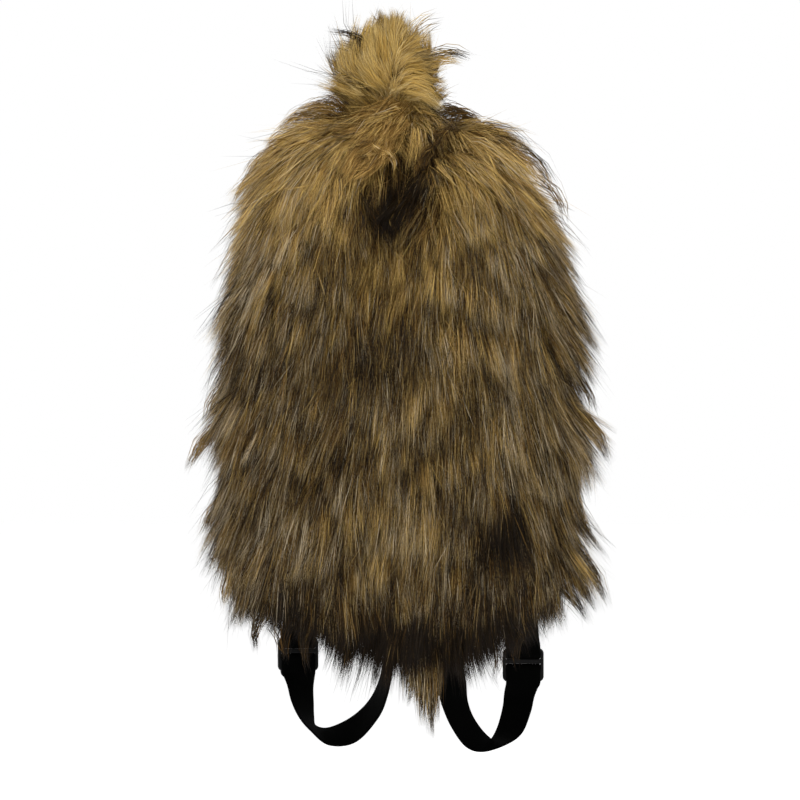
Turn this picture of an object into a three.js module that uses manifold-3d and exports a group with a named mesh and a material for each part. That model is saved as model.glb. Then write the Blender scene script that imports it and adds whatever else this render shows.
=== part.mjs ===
// A long-pile faux-fur backpack, hanging by the loop behind its gathered neck.
//
// Units are millimetres and +Z is up. The front of the bag faces -Y and +X is
// the right-hand side as seen from the front. The origin is the inside top of
// the hanging loop, the point where a hook carries the bag.

import * as THREE from 'three';
import { mergeVertices } from 'three/addons/utils/BufferGeometryUtils.js';
import Module from 'manifold-3d';

const wasm = await Module();
wasm.setup();

// ---------------------------------------------------------------- sizes

const GAP = 0.3;                 // between two pieces that are sewn or laid together

const BAG_CENTRE_Y = -52;        // plane of the side seams
const NECK_TOP_Z = -36;          // where the bag's neck ends and the puff begins
const BAG_BOTTOM_Z = -452;
const MOUTH_X = -6;              // axis of the drawn-shut mouth
const MOUTH_RADIUS = 12;
const HOLLOW_TOP_Z = -66;

const WEBBING_WIDTH = 25;
const WEBBING_THICKNESS = 1.4;
const STRAP_CLEARANCE = 1.3;     // strap to fur, so that a flat strap clears the round back

const HANG_WEBBING_WIDTH = 15;
const HANG_LOOP_RADIUS = 18;
const HANG_LOOP_FOOT_Z = -75;    // the legs run this far down before the bag cuts them

const SLIDER_WIDTH = 31;
const SLIDER_HEIGHT = 25.4;
const SLIDER_THICKNESS = 3.2;
const SLIDER_CORNER = 3.5;
const SLIDER_EDGE_ROUNDING = 0.6;
const SLIDER_SLOT_WIDTH = 26;
const TOP_BAR = 4.0;             // heights of the bars and slots, from the top down
const UPPER_SLOT = 4.2;
const MIDDLE_BAR = 3.6;
const LOWER_SLOT = 4.6;
const BAR_CLEARANCE = 0.35;      // webbing to bar
const BEND_RADIUS = SLIDER_THICKNESS / 2 + BAR_CLEARANCE + WEBBING_THICKNESS / 2;
const SLIDER_EXIT = 1;           // webbing stays flat this far past the slider's edge

const POINTS_AROUND_BAG = 48;
const POINTS_AROUND_HOLLOW = 28;
const POINTS_AROUND_PUFF = 36;
const POINTS_AROUND_TUFT = 20;
const POINTS_AROUND_MOUTH = 20;
const PAST_A_FACE = 10;          // a cutting form runs this far past what it cuts
const BEND_STEPS = 8;            // stations in the half turn of webbing round a bar
const TAIL_STATIONS = 4;         // stations of the sewn or tucked end behind the run
const STRAP_STEPS = 22;          // stations down the back
const STRAP_LEAD = 4;            // of these, eased into the slider
const STRAP_LEAD_STEPS = 16;
const LOOP_STEPS = 36;
const HANG_LOOP_STEPS = 16;

// Outer form of the fur, one row for each height from the top down. "square" is the exponent of
// the rounded section: 2 is an ellipse, more is boxier.
const BAG_SECTIONS = [
  { z: NECK_TOP_Z, left: -46, right: 36, front: -84, back: -22, square: 2.0 },
  { z: -46, left: -79, right: 64, front: -97, back: -9, square: 2.0 },
  { z: -58, left: -100, right: 87, front: -107, back: 1, square: 2.1 },
  { z: -76, left: -114, right: 105, front: -117, back: 11, square: 2.2 },
  { z: -100, left: -121, right: 117, front: -126, back: 18, square: 2.3 },
  { z: -124, left: -126, right: 124, front: -131, back: 21, square: 2.4 },
  { z: -165, left: -131, right: 131, front: -137, back: 26, square: 2.4 },
  { z: -230, left: -142, right: 141, front: -142, back: 29, square: 2.5 },
  { z: -296, left: -150, right: 151, front: -144, back: 30, square: 2.5 },
  { z: -345, left: -145, right: 143, front: -142, back: 28, square: 2.5 },
  { z: -392, left: -140, right: 143, front: -134, back: 21, square: 2.4 },
  { z: -418, left: -121, right: 122, front: -124, back: 11, square: 2.2 },
  { z: -438, left: -92, right: 97, front: -110, back: -4, square: 2.1 },
  { z: BAG_BOTTOM_Z, left: -46, right: 66, front: -92, back: -24, square: 2.0 },
];

// The space inside the bag, half sizes about the same centre.
const HOLLOW_SECTIONS = [
  { z: HOLLOW_TOP_Z, halfWidth: MOUTH_RADIUS - 2, halfDepth: MOUTH_RADIUS - 2 },
  { z: -80, halfWidth: 52, halfDepth: 32 },
  { z: -104, halfWidth: 88, halfDepth: 48 },
  { z: -165, halfWidth: 105, halfDepth: 58 },
  { z: -250, halfWidth: 117, halfDepth: 61 },
  { z: -340, halfWidth: 119, halfDepth: 60 },
  { z: -395, halfWidth: 110, halfDepth: 50 },
  { z: -422, halfWidth: 76, halfDepth: 30 },
];
const HOLLOW_SQUARE = 2.5;

// The fur ruffle above the neck.
const PUFF_TOP_Z = 30;
const PUFF_SECTIONS = [
  { z: PUFF_TOP_Z, left: -25, right: 13, front: -71, back: -33, square: 2 },
  { z: 25, left: -30, right: 17, front: -75, back: -29, square: 2 },
  { z: 17, left: -40, right: 24, front: -83, back: -21, square: 2 },
  { z: 8, left: -50, right: 31, front: -91, back: -13, square: 2 },
  { z: -5, left: -56, right: 34, front: -94, back: -11, square: 2 },
  { z: -19, left: -54, right: 36, front: -92, back: -13, square: 2 },
  { z: NECK_TOP_Z + GAP, left: -46, right: 36, front: -84, back: -22, square: 2 },
];

// The lock of longer fur below the bottom edge.
const TUFT_SECTIONS = [
  { z: BAG_BOTTOM_Z - GAP, left: -8, right: 46, front: -84, back: -44, square: 2 },
  { z: -470, left: 2, right: 31, front: -77, back: -51, square: 2 },
  { z: -490, left: 13, right: 25, front: -69, back: -58, square: 2 },
  { z: -508, left: 20, right: 23, front: -65, back: -62, square: 2 },
];

// Creases of the gathered fur: each is a line across the front of the bag.
const CREASES = [
  { from: [-14, -116], to: [2, -92], depth: 13, reach: 15 },
  { from: [2, -92], to: [20, -67], depth: 9, reach: 9 },
  { from: [20, -67], to: [38, -42], depth: 8, reach: 8 },
  { from: [2, -92], to: [44, -63], depth: 8, reach: 8 },
  { from: [-58, -36], to: [-34, -48], depth: 6, reach: 8 },
];
const PLEAT_COUNT = 13;
const PLEAT_DEPTH = 0.07;        // as a share of the section, at the neck
const PLEAT_BACK_SHARE = 0.3;    // the back is gathered less
const PLEATS_END_Z = -125;

// Each strap: where its slider hangs and how far it is turned, and the places
// across the back (x at a height z) where the strap runs.
const STRAPS = [
  {
    side: 'left', sliderX: -77, sliderZ: -447, turn: 12,
    run: [
      { z: -80, x: -15 }, { z: -130, x: -33 }, { z: -200, x: -50 },
      { z: -270, x: -63 }, { z: -340, x: -72 }, { z: -395, x: -76 },
    ],
  },
  {
    side: 'right', sliderX: 93, sliderZ: -455, turn: -4,
    run: [
      { z: -80, x: 13 }, { z: -130, x: 34 }, { z: -200, x: 55 },
      { z: -270, x: 71 }, { z: -340, x: 83 }, { z: -400, x: 90 },
    ],
  },
];

// The webbing below each slider, one row for each station: where its inner and
// outer edges are seen from the front, and the depth of its middle. The edges
// are one webbing width apart, so the rest of that width is turned in depth.
const LOOP_STATIONS = {
  left: [
    { inner: [-65.6, -472], outer: [-85.0, -470], depth: 28 },
    { inner: [-65.4, -484], outer: [-81.8, -482], depth: 26 },
    { inner: [-65.2, -494], outer: [-76.0, -494], depth: 24 },
    { inner: [-63.8, -501], outer: [-67.4, -504], depth: 22 },
    { inner: [-54.0, -502.5], outer: [-53.5, -515], depth: 20 },
    { inner: [-38.3, -495.4], outer: [-33.5, -512.8], depth: 16 },
    { inner: [-25.5, -484.5], outer: [-16.5, -494.3], depth: 11 },
    { inner: [-17.3, -471], outer: [-9.4, -477], depth: 5 },
    { inner: [-13.0, -455], outer: [-6.0, -458], depth: -1 },
    { inner: [-12.0, -436], outer: [-4.0, -437], depth: -8 },
  ],
  right: [
    { inner: [78.7, -477], outer: [101.4, -479], depth: 29 },
    { inner: [77.6, -487], outer: [98.6, -490.5], depth: 27 },
    { inner: [74.0, -501], outer: [92.0, -506], depth: 25 },
    { inner: [69.5, -510.4], outer: [80.0, -514.6], depth: 23 },
    { inner: [67.0, -509.6], outer: [62.5, -520], depth: 21 },
    { inner: [60.6, -502.5], outer: [49.8, -516.4], depth: 19 },
    { inner: [54.4, -492.5], outer: [39.4, -502.5], depth: 16 },
    { inner: [50.8, -481], outer: [32.2, -486.5], depth: 12 },
    { inner: [49.6, -466], outer: [27.4, -469], depth: 6 },
    { inner: [46.0, -450], outer: [24.0, -451], depth: 0 },
    { inner: [42.0, -434], outer: [20.0, -434], depth: -7 },
  ],
};

// ---------------------------------------------------------------- helpers

// Signed volume of an indexed geometry; negative when its faces point inwards.
function signedVolume(geometry) {
  const position = geometry.getAttribute('position');
  const index = geometry.getIndex();
  const corner = [new THREE.Vector3(), new THREE.Vector3(), new THREE.Vector3()];
  let volume = 0;
  for (let face = 0; face < index.count; face += 3) {
    corner.forEach((point, k) => point.fromBufferAttribute(position, index.getX(face + k)));
    volume += corner[0].dot(corner[1].clone().cross(corner[2])) / 6;
  }
  return volume;
}

// A closed solid through a row of closed rings of points, capped at both ends.
function loft(rings) {
  const count = rings[0].length;
  const middle = (ring) => ring
    .reduce((sum, point) => sum.add(point), new THREE.Vector3())
    .divideScalar(count);
  const points = rings.flat().concat(middle(rings[0]), middle(rings.at(-1)));
  const firstCap = points.length - 2;
  const lastCap = points.length - 1;
  const lastRing = (rings.length - 1) * count;
  const index = [];
  for (let k = 0; k < count; k += 1) {
    const next = (k + 1) % count;
    for (let ring = 0; ring < rings.length - 1; ring += 1) {
      const here = ring * count;
      const above = here + count;
      index.push(here + k, here + next, above + next);
      index.push(here + k, above + next, above + k);
    }
    index.push(firstCap, next, k);
    index.push(lastCap, lastRing + k, lastRing + next);
  }
  const geometry = new THREE.BufferGeometry().setFromPoints(points);
  geometry.setIndex(index);
  if (signedVolume(geometry) < 0) geometry.setIndex(index.reverse());
  return geometry;
}

// One column of a table of sections at height z, eased through the rows.
function columnAt(rows, column, z) {
  const last = rows.length - 1;
  let below = rows.findIndex((row) => row.z <= z);
  if (below < 0) below = last;
  below = Math.max(below, 1);
  const value = (k) => rows[THREE.MathUtils.clamp(k, 0, last)][column];
  const t = (rows[below - 1].z - z) / (rows[below - 1].z - rows[below].z);
  const [a, b, c, d] = [below - 2, below - 1, below, below + 1].map(value);
  const bend = (3 * (b - c) + d - a) * t;
  return b + 0.5 * t * (c - a + t * (2 * a - 5 * b + 4 * c - d + bend));
}

function toManifold(geometry) {
  const bare = geometry.clone();
  bare.deleteAttribute('normal');
  bare.deleteAttribute('uv');
  const merged = mergeVertices(bare, 1e-4);
  return new wasm.Manifold(new wasm.Mesh({
    numProp: 3,
    vertProperties: new Float32Array(merged.getAttribute('position').array),
    triVerts: new Uint32Array(merged.getIndex().array),
  }));
}

function toGeometry(manifold) {
  const mesh = manifold.getMesh();
  const geometry = new THREE.BufferGeometry();
  geometry.setAttribute('position', new THREE.BufferAttribute(mesh.vertProperties, 3));
  geometry.setIndex(new THREE.BufferAttribute(mesh.triVerts, 1));
  return geometry;
}

// ---------------------------------------------------------------- the bag

// How far a point on the front is pressed in by the creases near the neck.
function creaseDepth(x, z) {
  const point = new THREE.Vector3(x, 0, z);
  const depths = CREASES.map(({ from, to, depth, reach }) => {
    const start = new THREE.Vector3(from[0], 0, from[1]);
    const line = new THREE.Line3(start, new THREE.Vector3(to[0], 0, to[1]));
    const nearest = line.closestPointToPoint(point, true, new THREE.Vector3());
    return depth * Math.exp(-((nearest.distanceTo(point) / reach) ** 2));
  });
  return Math.max(...depths);
}

function pleatShare(z, facesBack) {
  const fade = THREE.MathUtils.smoothstep(z, PLEATS_END_Z, NECK_TOP_Z);
  return PLEAT_DEPTH * fade * (facesBack ? PLEAT_BACK_SHARE : 1);
}

// One level ring of a table of sections: a rounded box of its own width and of
// a different depth to the front and to the back.
function sectionRing(rows, z, count, centreY, grow = 0, folded = false) {
  const at = (column) => columnAt(rows, column, z);
  const centreX = (at('left') + at('right')) / 2;
  const halfWidth = (at('right') - at('left')) / 2 + grow;
  const power = 2 / at('square');
  const ring = [];
  for (let k = 0; k < count; k += 1) {
    const angle = (2 * Math.PI * k) / count;
    const across = Math.cos(angle);
    const along = Math.sin(angle);
    const facesBack = along > 0;
    const halfDepth = facesBack ? at('back') - centreY : centreY - at('front');
    const fold = folded ? 1 + pleatShare(z, facesBack) * Math.cos(PLEAT_COUNT * angle) : 1;
    const x = centreX + fold * halfWidth * Math.sign(across) * Math.abs(across) ** power;
    const reach = fold * (halfDepth + grow) * Math.sign(along) * Math.abs(along) ** power;
    const pressed = folded && !facesBack ? creaseDepth(x, z) * Math.abs(along) : 0;
    ring.push(new THREE.Vector3(x, centreY + reach + pressed, z));
  }
  return ring;
}

// The heights of a table's rows, with one more halfway between each two.
function heightsThrough(rows) {
  const heights = [rows[0].z];
  rows.slice(1).forEach((row, k) => heights.push((rows[k].z + row.z) / 2, row.z));
  return heights;
}

// The whole outer form of the bag's fur, and the same grown for clearance.
function bagForm(grow = 0) {
  const heights = heightsThrough(BAG_SECTIONS);
  const rings = heights.map((z, k) => {
    const ring = sectionRing(BAG_SECTIONS, z, POINTS_AROUND_BAG, BAG_CENTRE_Y, grow, true);
    const lift = k === 0 ? grow : 0;
    return ring.map((point) => point.setZ(point.z + lift));
  });
  return toManifold(loft(rings));
}

function hollowForm() {
  const rows = HOLLOW_SECTIONS.map((row) => {
    const middle = row.z === HOLLOW_TOP_Z ? MOUTH_X : 0;
    return {
      z: row.z,
      left: middle - row.halfWidth,
      right: middle + row.halfWidth,
      front: BAG_CENTRE_Y - row.halfDepth,
      back: BAG_CENTRE_Y + row.halfDepth,
      square: HOLLOW_SQUARE,
    };
  });
  const rings = heightsThrough(rows)
    .map((z) => sectionRing(rows, z, POINTS_AROUND_HOLLOW, BAG_CENTRE_Y));
  return toManifold(loft(rings));
}

// The drawn-shut mouth, a round way in from above the puff to the hollow.
function mouthForm() {
  const top = PUFF_TOP_Z + PAST_A_FACE;
  const bottom = HOLLOW_TOP_Z - PAST_A_FACE;
  const bore = new THREE.CylinderGeometry(
    MOUTH_RADIUS, MOUTH_RADIUS, top - bottom, POINTS_AROUND_MOUTH);
  bore.rotateX(Math.PI / 2);
  bore.translate(MOUTH_X, BAG_CENTRE_Y, (top + bottom) / 2);
  return toManifold(bore);
}

// Everything in front of the side seams (side -1) or behind them (side 1).
function halfSpace(side) {
  const reach = 2 * Math.abs(BAG_BOTTOM_Z);
  const box = new THREE.BoxGeometry(reach, reach, reach);
  box.translate(0, BAG_CENTRE_Y + side * (reach / 2 + GAP / 2), 0);
  return toManifold(box);
}

// How far back the fur of the back reaches at a place across it.
function backSurfaceY(x, z) {
  const at = (column) => columnAt(BAG_SECTIONS, column, z);
  const centreX = (at('left') + at('right')) / 2;
  const halfWidth = (at('right') - at('left')) / 2;
  const share = Math.min(Math.abs(x - centreX) / halfWidth, 1);
  const fold = 1 + pleatShare(z, true);
  const reach = (1 - share ** at('square')) ** (1 / at('square'));
  return BAG_CENTRE_Y + fold * (at('back') - BAG_CENTRE_Y) * reach;
}

// ---------------------------------------------------------------- webbing

// A flat strip through a row of stations. Each station holds the middles of its
// two edges, and the strip has its thickness across both.
function webbing(stations) {
  const middles = stations.map(({ a, b }) => a.clone().lerp(b, 0.5));
  const rings = stations.map(({ a, b }, k) => {
    const before = middles[Math.max(k - 1, 0)];
    const after = middles[Math.min(k + 1, middles.length - 1)];
    const normal = after.clone().sub(before).cross(b.clone().sub(a)).normalize();
    const up = normal.multiplyScalar(WEBBING_THICKNESS / 2);
    return [a.clone().sub(up), b.clone().sub(up), b.clone().add(up), a.clone().add(up)];
  });
  return loft(rings);
}

// The same stations eased by a curve along each edge.
function easeStations(stations, steps) {
  const edges = ['a', 'b'].map((edge) => new THREE.CatmullRomCurve3(
    stations.map((station) => station[edge]), false, 'centripetal'));
  const eased = [];
  for (let step = 0; step <= steps; step += 1) {
    eased.push({ a: edges[0].getPoint(step / steps), b: edges[1].getPoint(step / steps) });
  }
  return eased;
}

// One station of webbing laid flat on the slider, at a height of its own frame.
function onSlider(slider, y, z) {
  const half = WEBBING_WIDTH / 2;
  return {
    a: slider.localToWorld(new THREE.Vector3(-half, y, z)),
    b: slider.localToWorld(new THREE.Vector3(half, y, z)),
  };
}

// Stations of webbing that comes down or up the front of the slider, turns back
// round a bar and leaves along the back. The bar's edge is at barZ, and the
// webbing passes over it (direction 1) or under it (-1).
function roundBar(slider, barZ, direction) {
  const exitZ = -direction * (SLIDER_HEIGHT / 2 + SLIDER_EXIT);
  const stations = [onSlider(slider, -BEND_RADIUS, exitZ)];
  for (let step = 0; step <= BEND_STEPS; step += 1) {
    const angle = (Math.PI * step) / BEND_STEPS;
    const y = -BEND_RADIUS * Math.cos(angle);
    stations.push(onSlider(slider, y, barZ + direction * BEND_RADIUS * Math.sin(angle)));
  }
  return [...stations, onSlider(slider, BEND_RADIUS, exitZ)];
}

// The end of the webbing behind its own run, closing up on it away from the
// slider. The run starts at the slider's edge.
function tailBehind(run, count) {
  return run.slice(1, count + 1).map(({ a, b }, k) => {
    const next = run[k + 2];
    const along = next.a.clone().add(next.b).sub(a).sub(b);
    const normal = along.cross(b.clone().sub(a)).normalize();
    if (normal.y < 0) normal.negate();
    const closeUp = THREE.MathUtils.smoothstep(k, -1, count - 1);
    const laidOn = WEBBING_THICKNESS + 2 * GAP;
    const offset = normal.multiplyScalar(THREE.MathUtils.lerp(2 * BEND_RADIUS, laidOn, closeUp));
    return { a: a.clone().add(offset), b: b.clone().add(offset) };
  });
}

// The strap from the neck down the back to the upper bar of its slider.
function shoulderStrap(strap, slider) {
  const barZ = SLIDER_HEIGHT / 2 - TOP_BAR;
  const course = new THREE.CatmullRomCurve3(
    strap.run.map(({ x, z }) => new THREE.Vector3(x, 0, z)));
  const hanging = { a: -Infinity, b: -Infinity };
  const run = [];
  for (let step = 0; step <= STRAP_STEPS; step += 1) {
    const place = course.getPoint(step / STRAP_STEPS);
    const heading = course.getTangent(step / STRAP_STEPS);
    const side = new THREE.Vector3(-heading.z, 0, heading.x).multiplyScalar(WEBBING_WIDTH / 2);
    const station = { a: place.clone().sub(side), b: place.clone().add(side) };
    ['a', 'b'].forEach((edge) => {
      const surface = backSurfaceY(station[edge].x, station[edge].z);
      hanging[edge] = Math.max(hanging[edge], surface + STRAP_CLEARANCE + WEBBING_THICKNESS / 2);
      station[edge].setY(hanging[edge]);
    });
    run.push(station);
  }
  const bend = roundBar(slider, barZ, -1);
  const lead = easeStations([...run.slice(-STRAP_LEAD), bend[0]], STRAP_LEAD_STEPS);
  const tail = tailBehind(lead.toReversed(), TAIL_STATIONS);
  return webbing([...run.slice(0, -STRAP_LEAD), ...lead, ...bend.slice(1), ...tail]);
}

// The webbing from the lower bar of its slider, down, round and up to the bag.
function strapLoop(strap, slider) {
  const barZ = SLIDER_HEIGHT / 2 - TOP_BAR - UPPER_SLOT - MIDDLE_BAR - LOWER_SLOT;
  const bend = roundBar(slider, barZ, 1);
  const stations = LOOP_STATIONS[strap.side].map(({ inner, outer, depth }) => {
    const seen = Math.hypot(outer[0] - inner[0], outer[1] - inner[1]);
    const turned = Math.sqrt(Math.max(WEBBING_WIDTH ** 2 - seen ** 2, 0)) / 2;
    const innerEdge = new THREE.Vector3(inner[0], depth + turned, inner[1]);
    const outerEdge = new THREE.Vector3(outer[0], depth - turned, outer[1]);
    const leftOut = strap.side === 'left';
    return leftOut ? { a: outerEdge, b: innerEdge } : { a: innerEdge, b: outerEdge };
  });
  const run = easeStations([bend[0], ...stations], LOOP_STEPS);
  const tail = tailBehind(run, TAIL_STATIONS).reverse();
  return webbing([...tail, ...bend.slice(1).reverse(), ...run]);
}

// A slider with three bars, facing the front.
function sliderBody() {
  const w = SLIDER_WIDTH / 2 - SLIDER_EDGE_ROUNDING;
  const h = SLIDER_HEIGHT / 2 - SLIDER_EDGE_ROUNDING;
  const r = SLIDER_CORNER;
  const outline = new THREE.Shape();
  outline.moveTo(-w + r, -h);
  outline.lineTo(w - r, -h);
  outline.absarc(w - r, -h + r, r, -Math.PI / 2, 0);
  outline.lineTo(w, h - r);
  outline.absarc(w - r, h - r, r, 0, Math.PI / 2);
  outline.lineTo(-w + r, h);
  outline.absarc(-w + r, h - r, r, Math.PI / 2, Math.PI);
  outline.lineTo(-w, -h + r);
  outline.absarc(-w + r, -h + r, r, Math.PI, 1.5 * Math.PI);

  const slotHalf = SLIDER_SLOT_WIDTH / 2 + SLIDER_EDGE_ROUNDING;
  const slot = (top, height) => {
    const upper = top + SLIDER_EDGE_ROUNDING;
    const lower = top - height - SLIDER_EDGE_ROUNDING;
    const hole = new THREE.Path();
    hole.moveTo(-slotHalf, lower);
    hole.lineTo(-slotHalf, upper);
    hole.lineTo(slotHalf, upper);
    hole.lineTo(slotHalf, lower);
    hole.closePath();
    return hole;
  };
  const upperTop = SLIDER_HEIGHT / 2 - TOP_BAR;
  const lowerTop = upperTop - UPPER_SLOT - MIDDLE_BAR;
  outline.holes.push(slot(upperTop, UPPER_SLOT), slot(lowerTop, LOWER_SLOT));
  const body = new THREE.ExtrudeGeometry(outline, {
    depth: SLIDER_THICKNESS - 2 * SLIDER_EDGE_ROUNDING,
    bevelThickness: SLIDER_EDGE_ROUNDING,
    bevelSize: SLIDER_EDGE_ROUNDING,
    bevelSegments: 2,
    curveSegments: 5,
  });
  body.translate(0, 0, SLIDER_EDGE_ROUNDING - SLIDER_THICKNESS / 2);
  return body.rotateX(Math.PI / 2);
}

// A plain arch of webbing, the inside of its top at the origin.
function hangLoop() {
  const radius = HANG_LOOP_RADIUS + WEBBING_THICKNESS / 2;
  const half = HANG_WEBBING_WIDTH / 2;
  const stations = [];
  const add = (x, z) => stations.push({
    a: new THREE.Vector3(x, -half, z),
    b: new THREE.Vector3(x, half, z),
  });
  add(radius, HANG_LOOP_FOOT_Z);
  for (let step = 0; step <= HANG_LOOP_STEPS; step += 1) {
    const angle = (Math.PI * step) / HANG_LOOP_STEPS;
    add(radius * Math.cos(angle), radius * Math.sin(angle) - HANG_LOOP_RADIUS);
  }
  add(-radius, HANG_LOOP_FOOT_Z);
  return toManifold(webbing(stations)).subtract(bagForm(GAP));
}

// ---------------------------------------------------------------- assembly

const FUR = new THREE.MeshStandardMaterial({ color: 0x7a5c34, roughness: 0.9, metalness: 0 });
const PUFF_FUR = new THREE.MeshStandardMaterial({ color: 0xb08a50, roughness: 0.9, metalness: 0 });
const BLACK_WEBBING = new THREE.MeshStandardMaterial({
  color: 0x101312, roughness: 0.6, metalness: 0,
});
const BLACK_PLASTIC = new THREE.MeshStandardMaterial({
  color: 0x0c0c0d, roughness: 0.35, metalness: 0,
});

const backpack = new THREE.Group();

function place(name, geometry, material, parent = backpack) {
  const mesh = new THREE.Mesh(geometry, material.clone());
  mesh.name = name;
  parent.add(mesh);
  return mesh;
}

const bag = bagForm().subtract(hollowForm()).subtract(mouthForm());
place('fur_front_panel', toGeometry(bag.intersect(halfSpace(-1))), FUR);
place('fur_back_panel', toGeometry(bag.intersect(halfSpace(1))), FUR);

const puffRings = heightsThrough(PUFF_SECTIONS)
  .map((z) => sectionRing(PUFF_SECTIONS, z, POINTS_AROUND_PUFF, BAG_CENTRE_Y));
place('fur_puff', toGeometry(toManifold(loft(puffRings)).subtract(mouthForm())), PUFF_FUR);

const tuftCentreY = (TUFT_SECTIONS.at(-1).front + TUFT_SECTIONS.at(-1).back) / 2;
const tuftRings = heightsThrough(TUFT_SECTIONS)
  .map((z) => sectionRing(TUFT_SECTIONS, z, POINTS_AROUND_TUFT, tuftCentreY));
place('tail_tuft', loft(tuftRings), FUR);

place('hang_loop', toGeometry(hangLoop()), BLACK_WEBBING);

STRAPS.forEach((strap) => {
  const deepest = Math.max(...strap.run.map(({ x, z }) => backSurfaceY(x, z)));
  const slider = new THREE.Group();
  slider.position.set(
    strap.sliderX,
    deepest + STRAP_CLEARANCE + WEBBING_THICKNESS / 2 + BEND_RADIUS,
    strap.sliderZ);
  slider.rotation.z = THREE.MathUtils.degToRad(strap.turn);
  slider.updateMatrixWorld();
  backpack.add(slider);
  place(`slider_${strap.side}`, sliderBody(), BLACK_PLASTIC, slider);
  place(`shoulder_strap_${strap.side}`, shoulderStrap(strap, slider), BLACK_WEBBING);
  const loop = toManifold(strapLoop(strap, slider)).subtract(bagForm(GAP));
  place(`strap_loop_${strap.side}`, toGeometry(loop), BLACK_WEBBING);
});

export default backpack;
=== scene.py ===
# %% [markdown]
# # A long-pile faux-fur backpack
#
# The bag hangs by a loop behind its gathered neck. Almost all that the eye
# sees is fur: locks of long hair, tan at the root and near-black at the tip,
# standing on a sewn cloth bag. Two loops of black webbing with plastic sliders
# hang out below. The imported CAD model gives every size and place. This script
# grows the fur, lays the webbing and sets the studio around them.

# %% Start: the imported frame
import math

import bpy
import numpy as np
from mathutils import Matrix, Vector, kdtree
from mathutils.bvhtree import BVHTree


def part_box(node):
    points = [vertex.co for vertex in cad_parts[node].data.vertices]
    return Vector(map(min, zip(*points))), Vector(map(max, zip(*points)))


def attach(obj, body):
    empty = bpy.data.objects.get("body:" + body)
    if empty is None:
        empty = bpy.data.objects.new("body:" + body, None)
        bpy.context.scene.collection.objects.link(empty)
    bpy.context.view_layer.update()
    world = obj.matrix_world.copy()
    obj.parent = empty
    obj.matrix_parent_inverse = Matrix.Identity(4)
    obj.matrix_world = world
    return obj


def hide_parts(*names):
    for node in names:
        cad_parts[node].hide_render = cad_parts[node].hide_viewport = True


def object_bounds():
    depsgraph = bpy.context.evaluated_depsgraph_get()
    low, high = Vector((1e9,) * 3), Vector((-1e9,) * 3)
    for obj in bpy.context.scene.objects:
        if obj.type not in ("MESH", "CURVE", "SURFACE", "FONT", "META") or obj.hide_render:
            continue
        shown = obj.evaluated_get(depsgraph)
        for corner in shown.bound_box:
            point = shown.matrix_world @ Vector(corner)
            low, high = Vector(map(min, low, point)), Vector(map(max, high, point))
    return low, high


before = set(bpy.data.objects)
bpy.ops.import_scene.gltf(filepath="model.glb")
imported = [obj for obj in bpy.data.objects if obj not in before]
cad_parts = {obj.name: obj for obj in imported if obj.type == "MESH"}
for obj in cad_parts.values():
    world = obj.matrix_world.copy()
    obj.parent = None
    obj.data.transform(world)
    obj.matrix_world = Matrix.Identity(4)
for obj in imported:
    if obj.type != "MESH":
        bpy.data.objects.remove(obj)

cad_box = [list(corner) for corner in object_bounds()]
MM = 0.001
UV_MAP = "OFBake"           # the name under which a piece's own UV map is kept
print("CAD nodes:", sorted(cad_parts))

# %% [markdown]
# ## The camera and the studio
#
# A product picture of a bag is taken from far off with a long lens, level with
# the middle of the bag, so that its sides don't lean. The camera comes first,
# because everything after it is judged through it. The studio is as plain as
# can be: a pale floor, a white surround and large soft lamps.

# %% Camera, level with the middle of the bag
VIEW_WIDTH = 0.600          # what the picture takes in at the plane of the side seams
VIEW_HEIGHT = -0.255        # height of the camera and of the middle of the picture
VIEW_DISTANCE = 12.0

SENSOR_WIDTH = 36           # millimetres, as the lens is

SEAM_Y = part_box("fur_back_panel")[0].y
camera_data = bpy.data.cameras.new("camera")
camera_data.sensor_width = SENSOR_WIDTH
camera_data.lens = SENSOR_WIDTH * VIEW_DISTANCE / VIEW_WIDTH
camera = bpy.data.objects.new("camera", camera_data)
camera.location = (0, SEAM_Y - VIEW_DISTANCE, VIEW_HEIGHT)
camera.rotation_euler = (math.radians(90), 0, 0)
bpy.context.scene.collection.objects.link(camera)
bpy.context.scene.camera = camera
bpy.context.scene.view_settings.view_transform = "Standard"
print("lens", round(camera_data.lens), "mm")

# %% [markdown]
# ## Shader maths that reads as maths
#
# A socket is wrapped so that `1 - mask` or `tone * 0.5` adds the Math nodes by
# itself. Every other node comes from `Finish.node`, which takes the node's
# type, its settings and the values or links of its inputs.

# %% A wrapped socket
class Value:
    """A number or colour that varies over the surface, with the usual operators."""

    def __init__(self, finish, socket):
        self.finish = finish
        self.socket = socket

    def math(self, operation, first, second):
        return self.finish.node("ShaderNodeMath", {"operation": operation}, [first, second])

    def __add__(self, other):
        return self.math("ADD", self, other)

    def __sub__(self, other):
        return self.math("SUBTRACT", self, other)

    def __rsub__(self, other):
        return self.math("SUBTRACT", other, self)

    def __mul__(self, other):
        return self.math("MULTIPLY", self, other)

    def __pow__(self, other):
        return self.math("POWER", self, other)

    def __abs__(self):
        return self.math("ABSOLUTE", self, 0.0)

    def sine(self):
        return self.math("SINE", self, 0.0)

    __radd__ = __add__
    __rmul__ = __mul__


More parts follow.
